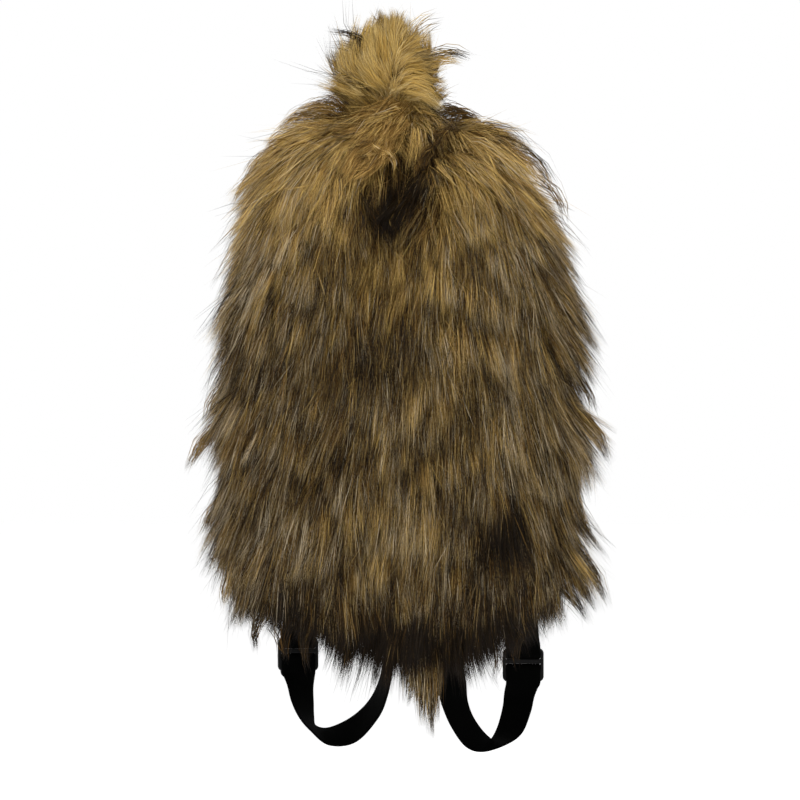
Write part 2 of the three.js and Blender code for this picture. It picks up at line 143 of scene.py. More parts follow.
# %% A material to build
class Finish:
    """A material of one Principled shader and the nodes that feed it."""

    OBJECT_COORDINATES = 3      # the output of Texture Coordinate that gives them
    MIX_INPUTS = 0, 6, 7        # of the Mix node: its factor and its two colours
    MIX_OUTPUT = 2              # and the mixed colour

    def __init__(self, name, **constants):
        self.material = bpy.data.materials.new(name)
        self.material.use_nodes = True
        self.tree = self.material.node_tree
        self.shader = self.tree.nodes["Principled BSDF"]
        for socket, value in constants.items():
            self.shader.inputs[socket.replace("_", " ")].default_value = value

    def node(self, kind, settings=None, inputs=(), output=0):
        made = self.tree.nodes.new(kind)
        for key, value in (settings or {}).items():
            if key == "stops":
                self.set_stops(made.color_ramp, value)
            else:
                setattr(made, key, value)
        pairs = inputs.items() if isinstance(inputs, dict) else enumerate(inputs)
        for place, value in pairs:
            if isinstance(value, Value):
                self.tree.links.new(value.socket, made.inputs[place])
            else:
                made.inputs[place].default_value = value
        return Value(self, made.outputs[output])

    @staticmethod
    def set_stops(ramp, stops):
        while len(ramp.elements) < len(stops):
            ramp.elements.new(1.0)
        for element, (place, colour) in zip(ramp.elements, stops):
            element.position = place
            element.color = (*colour, 1.0)

    def ramp(self, factor, stops):
        return self.node("ShaderNodeValToRGB", {"stops": stops}, [factor])

    def mix(self, factor, first, second):
        """A colour between two, by a factor from 0 to 1."""
        settings = {"data_type": "RGBA", "clamp_factor": True}
        colours = [c if isinstance(c, Value) else (*c, 1.0) for c in (first, second)]
        inputs = dict(zip(self.MIX_INPUTS, [factor, *colours]))
        return self.node("ShaderNodeMix", settings, inputs, self.MIX_OUTPUT)

    def own_uv(self):
        """Both coordinates of the piece's own UV map, each as a number."""
        place = self.node("ShaderNodeUVMap", {"uv_map": UV_MAP})
        return [self.node("ShaderNodeSeparateXYZ", None, [place], axis) for axis in (0, 1)]

    def noise(self, scale, **settings):
        """Noise over the piece's Object coordinates."""
        place = self.node("ShaderNodeTexCoord", output=self.OBJECT_COORDINATES)
        return self.node("ShaderNodeTexNoise", None, {"Vector": place, "Scale": scale, **settings})

    def bump(self, height, strength, distance):
        return self.node("ShaderNodeBump", None,
                         {"Strength": strength, "Distance": distance, "Height": height})

    def feed(self, **links):
        for socket, value in links.items():
            self.tree.links.new(value.socket, self.shader.inputs[socket.replace("_", " ")])


# %% [markdown]
# ## Fur colour
#
# Faux fur is dyed along the hair: a brown root, a paler middle and a black tip.
# The paler band towards the tip is also painted sheen, the grey-beige glint of
# the fibres. Three dyes are blended in it, a rich gold, a plain brown and an ash
# one that goes from pale beige to taupe, whose pale end is partly painted sheen
# as well. A particle system could carry such a colour, but its hair isn't a
# mesh. Here each strand carries its own place in a small colour chart as its UV.
# Across the chart each dye has a third, from light to dark, and up is the way
# from root to tip. One material then colours a quarter of a million strands,
# and the chart can be baked as it is.

# %% The chart of fur colour
DYE_SHARE = 0.996           # of its third of the chart that a dye fills, short of the next
ROOT_DARKER = 0.10          # how far a hair starts towards the dark end of its dye
TIP_PALER_WITH_SHEEN = 0.50          # and how far it pales towards its tip: partly the dye, partly painted sheen
LIGHTEST = 0.004            # kept just inside a dye's own third


def dye_chart(dyes):
    """The stops of one ramp that holds every dye in turn."""
    size = 1 / len(dyes)
    return [((number + place * DYE_SHARE) * size, colour)
            for number, dye in enumerate(dyes) for place, colour in dye]


def fur_finish(name, dyes, tip_colour, tip_starts, tip_ends, **constants):
    """Tone across, root to tip upwards. A darker hair has a longer dark tip.

    `tip_starts` and `tip_ends` say where along the hair the tip colour comes
    in, each for the lightest and for the darkest hair.
    """
    finish = Finish(name, **constants)
    across, along = finish.own_uv()
    place = across * len(dyes)
    dye = finish.node("ShaderNodeMath", {"operation": "FLOOR"}, [place])
    tone = place - dye
    # Paler towards the tip: partly the dye, partly painted sheen of the fibres.
    paled_with_sheen = tone + (1 - tone) * (ROOT_DARKER - TIP_PALER_WITH_SHEEN * along ** 3)
    paled_with_sheen = finish.node("ShaderNodeMath", {"operation": "MAXIMUM"}, [paled_with_sheen, LIGHTEST])
    body = finish.ramp((paled_with_sheen + dye) * (1 / len(dyes)), dye_chart(dyes))
    starts = tip_starts[0] + tone * (tip_starts[1] - tip_starts[0])
    ends = tip_ends[0] + tone * (tip_ends[1] - tip_ends[0])
    tip = finish.node("ShaderNodeMapRange", {"interpolation_type": "SMOOTHSTEP"},
                      {"Value": along, "From Min": starts, "From Max": ends})
    finish.feed(Base_Color=finish.mix(tip, body, tip_colour))
    return finish.material


# %% The two furs, each of a rich, a plain and an ash dye
RICH_BROWN = [              # places from light to dark, and their colours
    (0.00, (0.620, 0.420, 0.125)),
    (0.16, (0.485, 0.303, 0.090)),
    (0.42, (0.260, 0.150, 0.041)),
    (0.68, (0.112, 0.056, 0.011)),
    (1.00, (0.015, 0.009, 0.003)),
]
PLAIN_BROWN = [
    (0.00, (0.610, 0.440, 0.180)),
    (0.16, (0.470, 0.315, 0.108)),
    (0.42, (0.255, 0.153, 0.046)),
    (0.68, (0.112, 0.058, 0.012)),
    (1.00, (0.015, 0.010, 0.005)),
]
# The pale beige end of the ash dye is partly painted sheen, the grey glint of the fibres.
ASH_BROWN = [
    (0.00, (0.700, 0.586, 0.402)),
    (0.25, (0.400, 0.307, 0.176)),
    (0.50, (0.188, 0.130, 0.060)),
    (0.75, (0.071, 0.046, 0.019)),
    (1.00, (0.013, 0.010, 0.007)),
]
RICH_GOLD = [
    (0.00, (0.640, 0.440, 0.130)),
    (0.40, (0.460, 0.285, 0.062)),
    (0.75, (0.220, 0.125, 0.026)),
    (1.00, (0.020, 0.015, 0.008)),
]
PLAIN_GOLD = [
    (0.00, (0.660, 0.480, 0.185)),
    (0.40, (0.470, 0.315, 0.095)),
    (0.75, (0.215, 0.132, 0.038)),
    (1.00, (0.018, 0.014, 0.009)),
]
# The pale end of the ash dye is partly painted sheen, the grey glint of the fibres.
ASH_GOLD = [
    (0.00, (0.710, 0.565, 0.290)),
    (0.40, (0.480, 0.350, 0.145)),
    (0.75, (0.205, 0.138, 0.055)),
    (1.00, (0.018, 0.015, 0.011)),
]
BROWN_DYES = [RICH_BROWN, PLAIN_BROWN, ASH_BROWN]
GOLD_DYES = [RICH_GOLD, PLAIN_GOLD, ASH_GOLD]
DYES = len(BROWN_DYES)      # both furs hold as many
FUR_GLOSS = {"Roughness": 0.50, "Specular_IOR_Level": 0.06}
fur_material = fur_finish("long_pile_fur", BROWN_DYES, tip_colour=(0.010, 0.007, 0.005),
                          tip_starts=(0.98, 0.42), tip_ends=(1.15, 0.92), **FUR_GLOSS)
puff_material = fur_finish("golden_puff_fur", GOLD_DYES, tip_colour=(0.014, 0.010, 0.007),
                           tip_starts=(1.00, 0.20), tip_ends=(1.60, 0.75), **FUR_GLOSS)
print("fur finishes:", fur_material.name, puff_material.name)

# %% [markdown]
# ## The form under the fur
#
# The CAD panels hold the outer form of the fur. Hair has to start deeper, on
# the cloth. Shrinking a copy of the panels would do for a ball, but these have
# an inside wall and seams. So the form is measured by casting rays at them from
# outside, and then moved inwards by the depth of the pile. The result is a grid
# of points, heights by angles, which both the cloth and the hair use.

# %% Measure a form as a grid
NECK_X = -6 * MM
NECK_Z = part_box("fur_puff")[0].z


def tree_of(*names):
    """One search tree over the faces of several CAD nodes."""
    corners, faces = [], []
    for name in names:
        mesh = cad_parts[name].data
        start = len(corners)
        corners += [v.co.copy() for v in mesh.vertices]
        faces += [[start + v for v in face.vertices] for face in mesh.polygons]
    return BVHTree.FromPolygons(corners, faces)


def measured_form(names, heights, columns):
    """The outer points of a form at each height and angle about the neck's axis."""
    tree = tree_of(*names)
    grid = np.zeros((len(heights), columns, 3))
    for row, height in enumerate(heights):
        for column in range(columns):
            turn = 2 * math.pi * column / columns
            out = Vector((math.cos(turn), math.sin(turn), 0))
            centre = Vector((NECK_X, SEAM_Y, height))
            grid[row, column] = tree.ray_cast(centre + out, -out)[0] or centre
    return grid


def crowded_at_ends(top, bottom, count):
    """Heights from the top down, closer together where a form closes."""
    eased = 0.5 - 0.5 * np.cos(np.linspace(0, math.pi, count))
    return top - MM / 2 - eased * (top - bottom - MM)


# %% Smooth a grid, and set another inside it
def unit(vectors):
    """Vectors of length 1."""
    return vectors / (np.linalg.norm(vectors, axis=-1, keepdims=True) + 1e-12)


def smooth(value, low, high):
    """0 below `low`, 1 above `high`, and an ease between them."""
    share = np.clip((value - low) / (high - low), 0, 1)
    return share * share * (3 - 2 * share)


def evened(grid, times):
    """Smooths a grid that closes on itself round the second direction."""
    grid = grid.copy()
    for _ in range(times):
        grid = grid / 2 + (np.roll(grid, 1, 1) + np.roll(grid, -1, 1)) / 4
        grid[1:-1] = grid[1:-1] / 2 + (grid[:-2] + grid[2:]) / 4
    return grid


def outward(grid):
    """Unit normals of a grid of points that runs from the top down."""
    around = np.roll(grid, -1, 1) - np.roll(grid, 1, 1)
    normal = np.cross(np.gradient(grid, axis=0), around)
    normal /= np.linalg.norm(normal, axis=2, keepdims=True)
    normal[0] = normal[1]
    normal[-1] = normal[-2]
    return normal


def inset(grid, depth):
    """A form moved inwards, square to itself, and eased where that crowds it."""
    return evened(grid - outward(grid) * depth, times=4)


def closed_at_top(grid, peak, rows):
    """The grid with rows added that close its first ring on a low domed peak."""
    share = np.linspace(0.02, 0.98, rows)[:, None, None]
    rise = peak[2] - grid[0, :, 2].mean()
    lid = peak + (grid[0] - peak) * share
    lid[..., 2] = grid[0, :, 2] + rise * (1 - share[..., 0] ** 2)
    return evened(np.concatenate([lid, grid]), times=2)


# %% Where the cloth lies: the depth of the pile, and the folds under the neck
PILE = 24 * MM              # fur standing off the cloth, square to it
HANGING_PILE = 12 * MM      # more of it under the bottom
TOP_PILE = -12 * MM         # and less on top, where it lies flat
PUFF_PILE = 20 * MM
PEAK_DROP = 6 * MM          # the bag's cloth closes this far below the puff's
PUFF_NECK = 26 * MM         # how far the knob's cloth runs down into the bag
FULLER = [                  # z, how much nearer the cloth comes to the left and to the right side
    (-520, 0, 0), (-450, -6, -10), (-425, -8, -10), (-400, -3, -6), (-372, 9, -4), (-335, 3, -9),
    (-288, -2, -2), (-258, 2, -6), (-225, 5, -1), (-190, 10, 6), (-140, 12, 4), (-105, 9, -3),
    (-75, 2, -12), (-55, -13, -19), (0, -12, -14),
]
GROOVES = [                 # folds of the gathered front: x, z, to x, z, half width, depth
    (43, -34, 19, -79, 7, 9),
    (19, -79, -10, -112, 10, 9),
    (47, -63, 30, -70, 6, 4),
    (-62, -32, -34, -43, 6, 6),
]


def line_closeness(points, x0, z0, x1, z1, half):
    """1 on a line drawn on the front, fading to 0 about two half widths away."""
    x, z = points[..., 0] / MM, points[..., 2] / MM
    share = ((x - x0) * (x1 - x0) + (z - z0) * (z1 - z0)) / ((x1 - x0) ** 2 + (z1 - z0) ** 2)
    share = np.clip(share, 0, 1)
    off = (x - x0 - share * (x1 - x0)) ** 2 + (z - z0 - share * (z1 - z0)) ** 2
    return np.exp(-off / half ** 2) * (points[..., 1] < SEAM_Y)


# %% The bag's grid and the puff's
panel_low, panel_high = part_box("fur_front_panel")
bag_heights = crowded_at_ends(panel_high.z, panel_low.z, count=84)
fur_form = measured_form(["fur_front_panel", "fur_back_panel"], bag_heights, columns=128)
fur_form = evened(fur_form, times=2)
facing = outward(fur_form)
depth = PILE + HANGING_PILE * np.clip(-facing[..., 2:], 0, 1)
depth = depth + TOP_PILE * smooth(facing[..., 2:], 0.2, 0.9)
fuller_z, fuller_left, fuller_right = np.array(FULLER, float).T * MM
for side, amount in [(-1, fuller_left), (1, fuller_right)]:
    depth -= np.interp(fur_form[..., 2:], fuller_z, amount) * smooth(side * facing[..., :1], 0.3, 0.9)
bag_grid = inset(fur_form, depth)
bag_grid = closed_at_top(bag_grid, np.array([NECK_X, SEAM_Y, NECK_Z - PEAK_DROP]), rows=10)
for *line, groove_depth in GROOVES:
    sunk = line_closeness(bag_grid, *line)[..., None] * groove_depth * MM
    bag_grid = bag_grid - outward(bag_grid) * sunk
bag_grid = evened(bag_grid, times=2)

puff_heights = crowded_at_ends(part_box("fur_puff")[1].z, NECK_Z, count=40)
puff_form = evened(measured_form(["fur_puff"], puff_heights, columns=64), times=2)
puff_grid = inset(puff_form, PUFF_PILE)
puff_neck = puff_grid[-1] + np.array([0, 0, -1]) * np.linspace(0, PUFF_NECK, 8)[1:, None, None]
puff_grid = evened(np.concatenate([puff_grid, puff_neck]), times=3)
print("cloth, width depth height:", np.ptp(bag_grid.reshape(-1, 3), axis=0).round(3))

# %% [markdown]
# ## The cloth: a bag, and the gathered knob above it
#
# The bag is a soft lofted shell, and the top edge of the pelt makes the knob
# under the puff. Each is a sphere primitive, because a sphere already has
# rings from pole to pole, and each ring is drawn out to the ring of the
# measured form at its height. Little of the cloth shows, but where the hair
# parts, the dark knitted backing shows between the roots.

# %% Draw a sphere out to a grid
def deselect():
    """Nothing selected, so that an operator acts only on what comes next."""
    bpy.ops.object.select_all(action="DESELECT")


def on_grid(grid, down, turn):
    """Points of a grid: `down` from 0 at the top to 1, `turn` in whole turns."""
    rows, columns = grid.shape[:2]
    y = np.clip(down, 0, 1) * (rows - 1)
    x = np.mod(turn, 1) * columns
    row, column = np.minimum(y.astype(int), rows - 2), x.astype(int) % columns
    fy, fx = (y - row)[:, None], (x - x.astype(int))[:, None]
    beside = (column + 1) % columns
    upper = grid[row, column] * (1 - fx) + grid[row, beside] * fx
    lower = grid[row + 1, column] * (1 - fx) + grid[row + 1, beside] * fx
    return upper * (1 - fy) + lower * fy


def sphere_on_grid(name, grid, segments, rings):
    """A sphere primitive whose rings are drawn out to the rings of a grid."""
    deselect()
    bpy.ops.mesh.primitive_uv_sphere_add(segments=segments, ring_count=rings, radius=1)
    piece = bpy.context.object
    piece.name = piece.data.name = name
    count = len(piece.data.vertices)
    at = np.zeros(count * 3)
    piece.data.vertices.foreach_get("co", at)
    at = at.reshape(-1, 3)
    polar = np.arccos(np.clip(at[:, 2], -1, 1)) / math.pi
    step = 1 / rings
    down = (polar - step) / (1 - 2 * step)
    placed = on_grid(grid, down, np.arctan2(at[:, 1], at[:, 0]) / (2 * math.pi))
    placed[polar < step / 2] = grid[0].mean(0)
    placed[polar > 1 - step / 2] = grid[-1].mean(0)
    piece.data.vertices.foreach_set("co", placed.ravel())
    piece.data.uv_layers[0].name = UV_MAP
    bpy.ops.object.shade_smooth()
    return piece


# %% The knitted backing, and what every piece is given at the end
KNIT_SCALE = 900.0          # of the noise: stitches of about a millimetre
KNIT_COLOURS = [(0.35, (0.030, 0.020, 0.010)), (0.7, (0.080, 0.054, 0.026))]

backing = Finish("knitted_backing", Roughness=0.95, Specular_IOR_Level=0.1)
knit = backing.noise(KNIT_SCALE)
backing.feed(Base_Color=backing.ramp(knit, KNIT_COLOURS), Normal=backing.bump(knit, 0.4, 0.4 * MM))


def finish_piece(piece, slot, material, *nodes):
    """Gives a finished piece its material and hides the CAD nodes it stands for; `slot` is not used."""
    piece.data.materials.clear()
    piece.data.materials.append(material)
    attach(piece, "root")
    if nodes:
        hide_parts(*nodes)


# %% Make both cloths
bag_cloth = sphere_on_grid("bag_cloth", bag_grid, segments=96, rings=80)
finish_piece(bag_cloth, "fur", backing.material)
puff_knob = sphere_on_grid("puff_knob", puff_grid, segments=40, rings=28)
finish_piece(puff_knob, "puff_fur", backing.material)
print("cloth faces:", len(bag_cloth.data.polygons), "and", len(puff_knob.data.polygons))

# %% [markdown]
# ## Webbing
#
# The straps are woven polyester tape, 25 mm wide and 1.4 mm thick. A tape
# can't be modelled well as a box: it turns and twists but never stretches. It
# is a flat grid here, laid along a row of stations that each hold both edges
# of the tape, and given its thickness and its soft edges by modifiers. The
# stations repeat the route that the CAD tape takes.

# %% A smooth course through stations
def course(points, count):
    """A Catmull-Rom curve through points, as `count` points evenly spaced along it."""
    points = np.asarray(points, float)
    ends = np.concatenate([[2 * points[0] - points[1]], points, [2 * points[-1] - points[-2]]])
    fine = []
    for k in range(len(points) - 1):
        a, b, c, d = ends[k:k + 4]
        for t in np.linspace(0, 1, 24, endpoint=False):
            fine.append(0.5 * (2 * b + (c - a) * t + (2 * a - 5 * b + 4 * c - d) * t ** 2
                               + (3 * b - a - 3 * c + d) * t ** 3))
    fine = np.array(fine + [points[-1]])
    steps = np.linalg.norm(np.diff(fine.reshape(len(fine), -1), axis=0), axis=1)
    walked = np.append(0, np.cumsum(steps))
    at = np.linspace(0, walked[-1], count)
    flat = fine.reshape(len(fine), -1)
    even = np.stack([np.interp(at, walked, flat[:, k]) for k in range(flat.shape[1])], 1)
    return even.reshape(count, *points.shape[1:])


# %% Webbing through a slider
WEBBING_WIDTH = 25 * MM
WEBBING_THICKNESS = 1.4 * MM
WIDTH_IN_SLOT = 25.7 * MM   # the tape spreads a little where it is bent
SLIDER_HEIGHT = 25.4 * MM
BEND_RADIUS = 2.65 * MM     # middle of the tape round a slider's bar
UPPER_BAR_EDGE = 8.7 * MM   # above the slider's middle: the foot of its top bar
LOWER_BAR_EDGE = -3.7 * MM  # the top of its lowest bar
UPPER_BULGE = 3.55 * MM     # how far the tape stands past that edge as it turns round the bar
LOWER_BULGE = 3.95 * MM
SLIDER_EXIT = 1 * MM
TAIL_GAP = 2.0 * MM         # between the middles of the tape and of its own sewn end


class Slider:
    """Where a slider's CAD node lies, to lay webbing through it."""

    def __init__(self, side, turn):
        low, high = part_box(f"slider_{side}")
        self.middle = np.array((low + high) / 2)
        self.across = np.array([math.cos(math.radians(turn)), math.sin(math.radians(turn)), 0])
        self.back = np.array([-self.across[1], self.across[0], 0])

    def station(self, y, z):
        place = self.middle + self.back * y + np.array([0, 0, z])
        half = self.across * WIDTH_IN_SLOT / 2
        return np.array([place - half, place + half])

    def round_bar(self, bar_z, direction, bulge):
        """Tape that comes along the front, turns back round a bar and leaves along the back."""
        exit_z = -direction * (SLIDER_HEIGHT / 2 + SLIDER_EXIT)
        turns = np.linspace(0, math.pi, 9)
        bend = [self.station(-BEND_RADIUS * math.cos(t), bar_z + direction * bulge * math.sin(t))
                for t in turns]
        return np.array([self.station(-BEND_RADIUS, exit_z), *bend, self.station(BEND_RADIUS, exit_z)])


def tail_behind(run, length, count):
    """The sewn end of the tape behind its own run, closing up on it from the slider's edge."""
    middle = run.mean(1)
    walked = np.append(0, np.cumsum(np.linalg.norm(np.diff(middle, axis=0), axis=1)))
    tail = []
    for share in np.linspace(0.2, 1, count):
        k = int(np.searchsorted(walked, share * length))
        normal = np.cross(run[k + 1].mean(0) - run[k - 1].mean(0), run[k, 1] - run[k, 0])
        normal = unit(normal if normal[1] > 0 else -normal)
        eased = smooth(share, 0, 1)
        gap = 2 * BEND_RADIUS * (1 - eased) + TAIL_GAP * eased
        tail.append(run[k] + np.array([0, gap / max(normal[1], 0.5), 0]))
    return np.array(tail)


# %% Places of the two straps down the back, and of the two loops under the bag
STRAP_RUNS = {              # z and x of the strap's middle, down the back; the slider's turn
    "left": ([(-80, -15), (-130, -33), (-200, -50), (-270, -63), (-340, -72), (-395, -76)], 12),
    "right": ([(-80, 13), (-130, 34), (-200, 55), (-270, 71), (-340, 83), (-400, 90)], -4),
}
LOOP_ROUTES = {             # x, z of the inner edge; x, z of the outer edge; depth of the middle
    "left": [
        (-65.6, -472, -85.0, -470.0, 28), (-65.4, -484, -81.8, -482.0, 26),
        (-65.2, -494, -76.0, -494.0, 24), (-63.8, -501, -67.4, -504.0, 22),
        (-54.0, -502.5, -53.5, -515.0, 20), (-38.3, -495.4, -33.5, -512.8, 16),
        (-25.5, -484.5, -16.5, -494.3, 11), (-17.3, -471, -9.4, -477.0, 5),
        (-13.0, -455, -6.0, -458.0, -1), (-12.0, -436, -4.0, -437.0, -8),
    ],
    "right": [
        (78.7, -477, 101.4, -479.0, 29), (77.6, -487, 98.6, -490.5, 27),
        (74.0, -501, 92.0, -506.0, 25), (69.5, -510.4, 80.0, -514.6, 23),
        (67.0, -509.6, 62.5, -520.0, 21), (60.6, -502.5, 49.8, -516.4, 19),
        (54.4, -492.5, 39.4, -502.5, 16), (50.8, -481, 32.2, -486.5, 12),
        (49.6, -466, 27.4, -469.0, 6), (46.0, -450, 24.0, -451.0, 0),
        (42.0, -434, 20.0, -434.0, -7),
    ],
}

# %% The route of the tape through the sliders
ON_FUR = 2.0 * MM           # middle of the tape above the fur it lies on
SEWN_DEPTH = 15 * MM        # how deep in the fur the upper end is sewn
SURFACES = 4 * MM, 52 * MM  # how far from that end the tape starts and ends its way out
STRAP_STATIONS = 140        # of the strap down to its slider, without the bend and the tail
LOOP_STATIONS = 110
STRAP_TAIL = 34 * MM
LOOP_TAIL = 15 * MM

back_fur = tree_of("fur_back_panel")


def back_surface(x, z):
    """How far back the fur's outer form reaches; far in front where there is none."""
    hit = back_fur.ray_cast(Vector((x, 1, z)), Vector((0, -1, 0)))[0]
    return hit.y if hit else -1


def shoulder_strap_route(run, slider):
    """Out of the fur, down on its surface, round the slider's top bar and up behind itself."""
    middle = course([(x * MM, 0, z * MM) for z, x in run], 30)
    ahead = unit(np.gradient(middle, axis=0))
    side = np.stack([-ahead[:, 2], 0 * ahead[:, 0], ahead[:, 0]], 1) * WEBBING_WIDTH / 2
    stations = np.stack([middle - side, middle + side], 1)
    depth = np.array([[back_surface(x, z) + ON_FUR for x, _, z in pair] for pair in stations])
    walked = np.linalg.norm(middle - middle[0], axis=1)
    stations[..., 1] = np.maximum.accumulate(depth, axis=0)
    stations[..., 1] -= SEWN_DEPTH * (1 - smooth(walked, *SURFACES))[:, None]
    bend = slider.round_bar(UPPER_BAR_EDGE, -1, UPPER_BULGE)
    route = course(np.concatenate([stations[:-2], bend[:1]]), STRAP_STATIONS)
    return np.concatenate([route, bend[1:], tail_behind(route[::-1], STRAP_TAIL, 6)])


def strap_loop_route(rows, slider, outer_is_left):
    """From behind the slider round its lowest bar, down, round and up under the bag.

    The depth of each edge follows from the width that the tape shows there.
    """
    stations = []
    for inner_x, inner_z, outer_x, outer_z, depth in np.array(rows) * MM:
        shown = math.hypot(outer_x - inner_x, outer_z - inner_z)
        turned_away = math.sqrt(max(WEBBING_WIDTH ** 2 - shown ** 2, 0)) / 2
        inner = (inner_x, depth + turned_away, inner_z)
        outer = (outer_x, depth - turned_away, outer_z)
        stations.append((outer, inner) if outer_is_left else (inner, outer))
    bend = slider.round_bar(LOWER_BAR_EDGE, 1, LOWER_BULGE)
    route = course(np.concatenate([bend[:1], stations]), LOOP_STATIONS)
    tail = tail_behind(route, LOOP_TAIL, 5)
    return np.concatenate([tail[::-1], bend[1:][::-1], route])


# %% Lay a grid along a route
ROW_LENGTH = 1.0 * MM       # of each row of faces along the tape
SOFT_EDGE = 0.45 * MM
UV_LENGTH = 0.55            # the length of tape that fills the UV square


def lay_webbing(name, route, across=8):
    """A flat grid laid along a route of stations, with its thickness and soft edges."""
    middle = route.mean(1)
    length = np.linalg.norm(np.diff(middle, axis=0), axis=1).sum()
    count = int(length / ROW_LENGTH)
    deselect()
    bpy.ops.mesh.primitive_grid_add(x_subdivisions=across, y_subdivisions=count, size=1)
    piece = bpy.context.object
    piece.name = piece.data.name = name
    mesh = piece.data
    at = np.zeros(len(mesh.vertices) * 3)
    mesh.vertices.foreach_get("co", at)
    at = at.reshape(-1, 3) + [0.5, 0.5, 0]
    laid = course(route, 4 * count)
    row = np.clip(at[:, 1] * (len(laid) - 1), 0, len(laid) - 1.001)
    near, part = row.astype(int), (row % 1)[:, None, None]
    edges = laid[near] * (1 - part) + laid[near + 1] * part
    placed = edges[:, 0] + (edges[:, 1] - edges[:, 0]) * at[:, :1]
    mesh.vertices.foreach_set("co", placed.ravel())
    layer = mesh.uv_layers[0]
    layer.name = UV_MAP
    uv = np.zeros(len(mesh.loops) * 2)
    layer.data.foreach_get("uv", uv)
    uv[1::2] *= length / UV_LENGTH
    layer.data.foreach_set("uv", uv)
    mesh.update()
    solid = piece.modifiers.new("thickness", "SOLIDIFY")
    solid.thickness = WEBBING_THICKNESS
    solid.offset = 0
    edge = piece.modifiers.new("soft_edge", "BEVEL")
    edge.width = SOFT_EDGE
    edge.segments = 2
    edge.limit_method = "ANGLE"
    edge.angle_limit = math.radians(50)
    for modifier in ("thickness", "soft_edge"):
        bpy.ops.object.modifier_apply(modifier=modifier)
    bpy.ops.object.shade_smooth()
    print(name, round(length / MM), "mm long,", len(mesh.polygons), "faces")
    return piece


# %% The weave, and the four pieces of 25 mm webbing
PICK = 0.7 * MM             # from one crossing thread to the next
ENDS = 20                   # threads along the tape, over its width

webbing = Finish("black_webbing", Base_Color=(0.0008, 0.0009, 0.0008, 1), Roughness=0.85,
                 Specular_IOR_Level=0.012)
across, along = webbing.own_uv()
picks = (along * (UV_LENGTH / PICK * math.pi)).sine()
ends = (across * (ENDS * math.pi)).sine()
webbing.feed(Normal=webbing.bump(abs(picks * ends), 0.5, 0.25 * MM))

strap_routes = {}
for side, (run, turn) in STRAP_RUNS.items():
    slider = Slider(side, turn)
    strap_routes[side] = shoulder_strap_route(run, slider)
    strap = lay_webbing(f"shoulder_strap_{side}_webbing", strap_routes[side])
    finish_piece(strap, "black_webbing", webbing.material, f"shoulder_strap_{side}")
    loop = lay_webbing(f"strap_loop_{side}_webbing",
                       strap_loop_route(LOOP_ROUTES[side], slider, side == "left"))
    finish_piece(loop, "black_webbing", webbing.material, f"strap_loop_{side}")

# %% [markdown]
# ## The hanging loop
#
# A narrower tape is sewn behind the neck as an arch on two legs. A curve with a
# profile could make it, but the grid that lays the straps does it as well, with
# the same edges and the same weave. It only needs another row of stations.

# %% The hanging loop behind the neck
HANG_RADIUS = 18.7 * MM
HANG_WIDTH = 15 * MM
ARCH_Z = -18 * MM           # where the arch springs from its legs
HANG_LEG = [(-2 * MM, -45 * MM), (-9 * MM, -74 * MM)]      # y, z down a leg


def hang_route():
    """Straight legs and an arch; the legs lean in towards the bag at the foot."""
    turns = np.linspace(0, math.pi, 17)
    arch = [(HANG_RADIUS * math.cos(t), 0, HANG_RADIUS * math.sin(t) + ARCH_Z) for t in turns]
    up = [(HANG_RADIUS, y, z) for y, z in reversed(HANG_LEG)]
    line = [*up, *arch, *[(-HANG_RADIUS, y, z) for y, z in HANG_LEG]]
    return np.array([[(x, y - HANG_WIDTH / 2, z), (x, y + HANG_WIDTH / 2, z)] for x, y, z in line])


hang = lay_webbing("hang_loop_webbing", hang_route(), across=5)
finish_piece(hang, "black_webbing", webbing.material, "hang_loop")

# %% [markdown]
# ## The sliders
#
# A slider is moulded in one shot from acetal. The CAD sliders already have that
# shape, so they stay, and only their finish is made here: black and a little
# glossy, with the fine grain that a spark-eroded mould leaves. One noise does
# both, because the same grain dulls the gloss and roughens the surface.

# %% Moulded plastic
GRAIN_SCALE = 1800.0

plastic = Finish("moulded_black_plastic", Base_Color=(0.002, 0.002, 0.002, 1), Specular_IOR_Level=0.10)
grain = plastic.noise(GRAIN_SCALE, Detail=3.0)
plastic.feed(Roughness=0.30 + grain * 0.22, Normal=plastic.bump(grain, 0.15, 0.1 * MM))
for side in STRAP_RUNS:
    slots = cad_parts[f"slider_{side}"].material_slots
    for slot in slots:
        slot.material = plastic.material
    print(f"slider_{side}:", len(slots), "slot of", plastic.material.name)

# %% [markdown]
# ## How hair lies
#
# A strand leaves the cloth at a steep angle and eases down along it. Which way
# it lies is the nap: straight down over most of the bag, outwards over the
# shoulders, and away from a whorl under the neck where the pile parts. Hairs
# then cling: a few make a thin lock, and thin locks lean into a broad one. The
# strand of each lock's middle is its guide, and the others are drawn to it.
#
# Blender's own hair could be combed by hand in the same way, but it would have
# to be made a mesh at the end. Here all strands are worked out at once as rows
# of an array, which gives the mesh directly and gives the same one each time.

# %% Roots spread evenly over a grid
def scatter(grid, count, keep, chance):
    """Roots spread by area over the cells of a grid whose middles `keep` accepts, with their normals."""
    normal = outward(grid)
    right = np.roll(grid, -1, 1)
    across, downwards = (right - grid)[:-1], (grid[1:] - grid[:-1])
    area = np.linalg.norm(np.cross(across, downwards), axis=2)
    middle = (grid[:-1] + grid[1:] + right[:-1] + right[1:]) / 4
    area = (area * keep(middle)).ravel()
    share = (np.arange(count) + chance.random(count)) / count
    cell = np.searchsorted(np.cumsum(area) / area.sum(), share)
    rows, columns = np.divmod(np.minimum(cell, area.size - 1), grid.shape[1])
    down = (rows + chance.random(count)) / (grid.shape[0] - 1)
    turn = (columns + chance.random(count)) / grid.shape[1]
    normals = on_grid(normal, down, turn)
    normals /= np.linalg.norm(normals, axis=1, keepdims=True)
    return on_grid(grid, down, turn), normals, area.sum()


# %% The locks they belong to
def nearest(points, centres):
    """For each point, the number of the nearest centre."""
    tree = kdtree.KDTree(len(centres))
    for number, centre in enumerate(centres):
        tree.insert(centre, number)
    tree.balance()
    return np.array([tree.find(point)[1] for point in points])


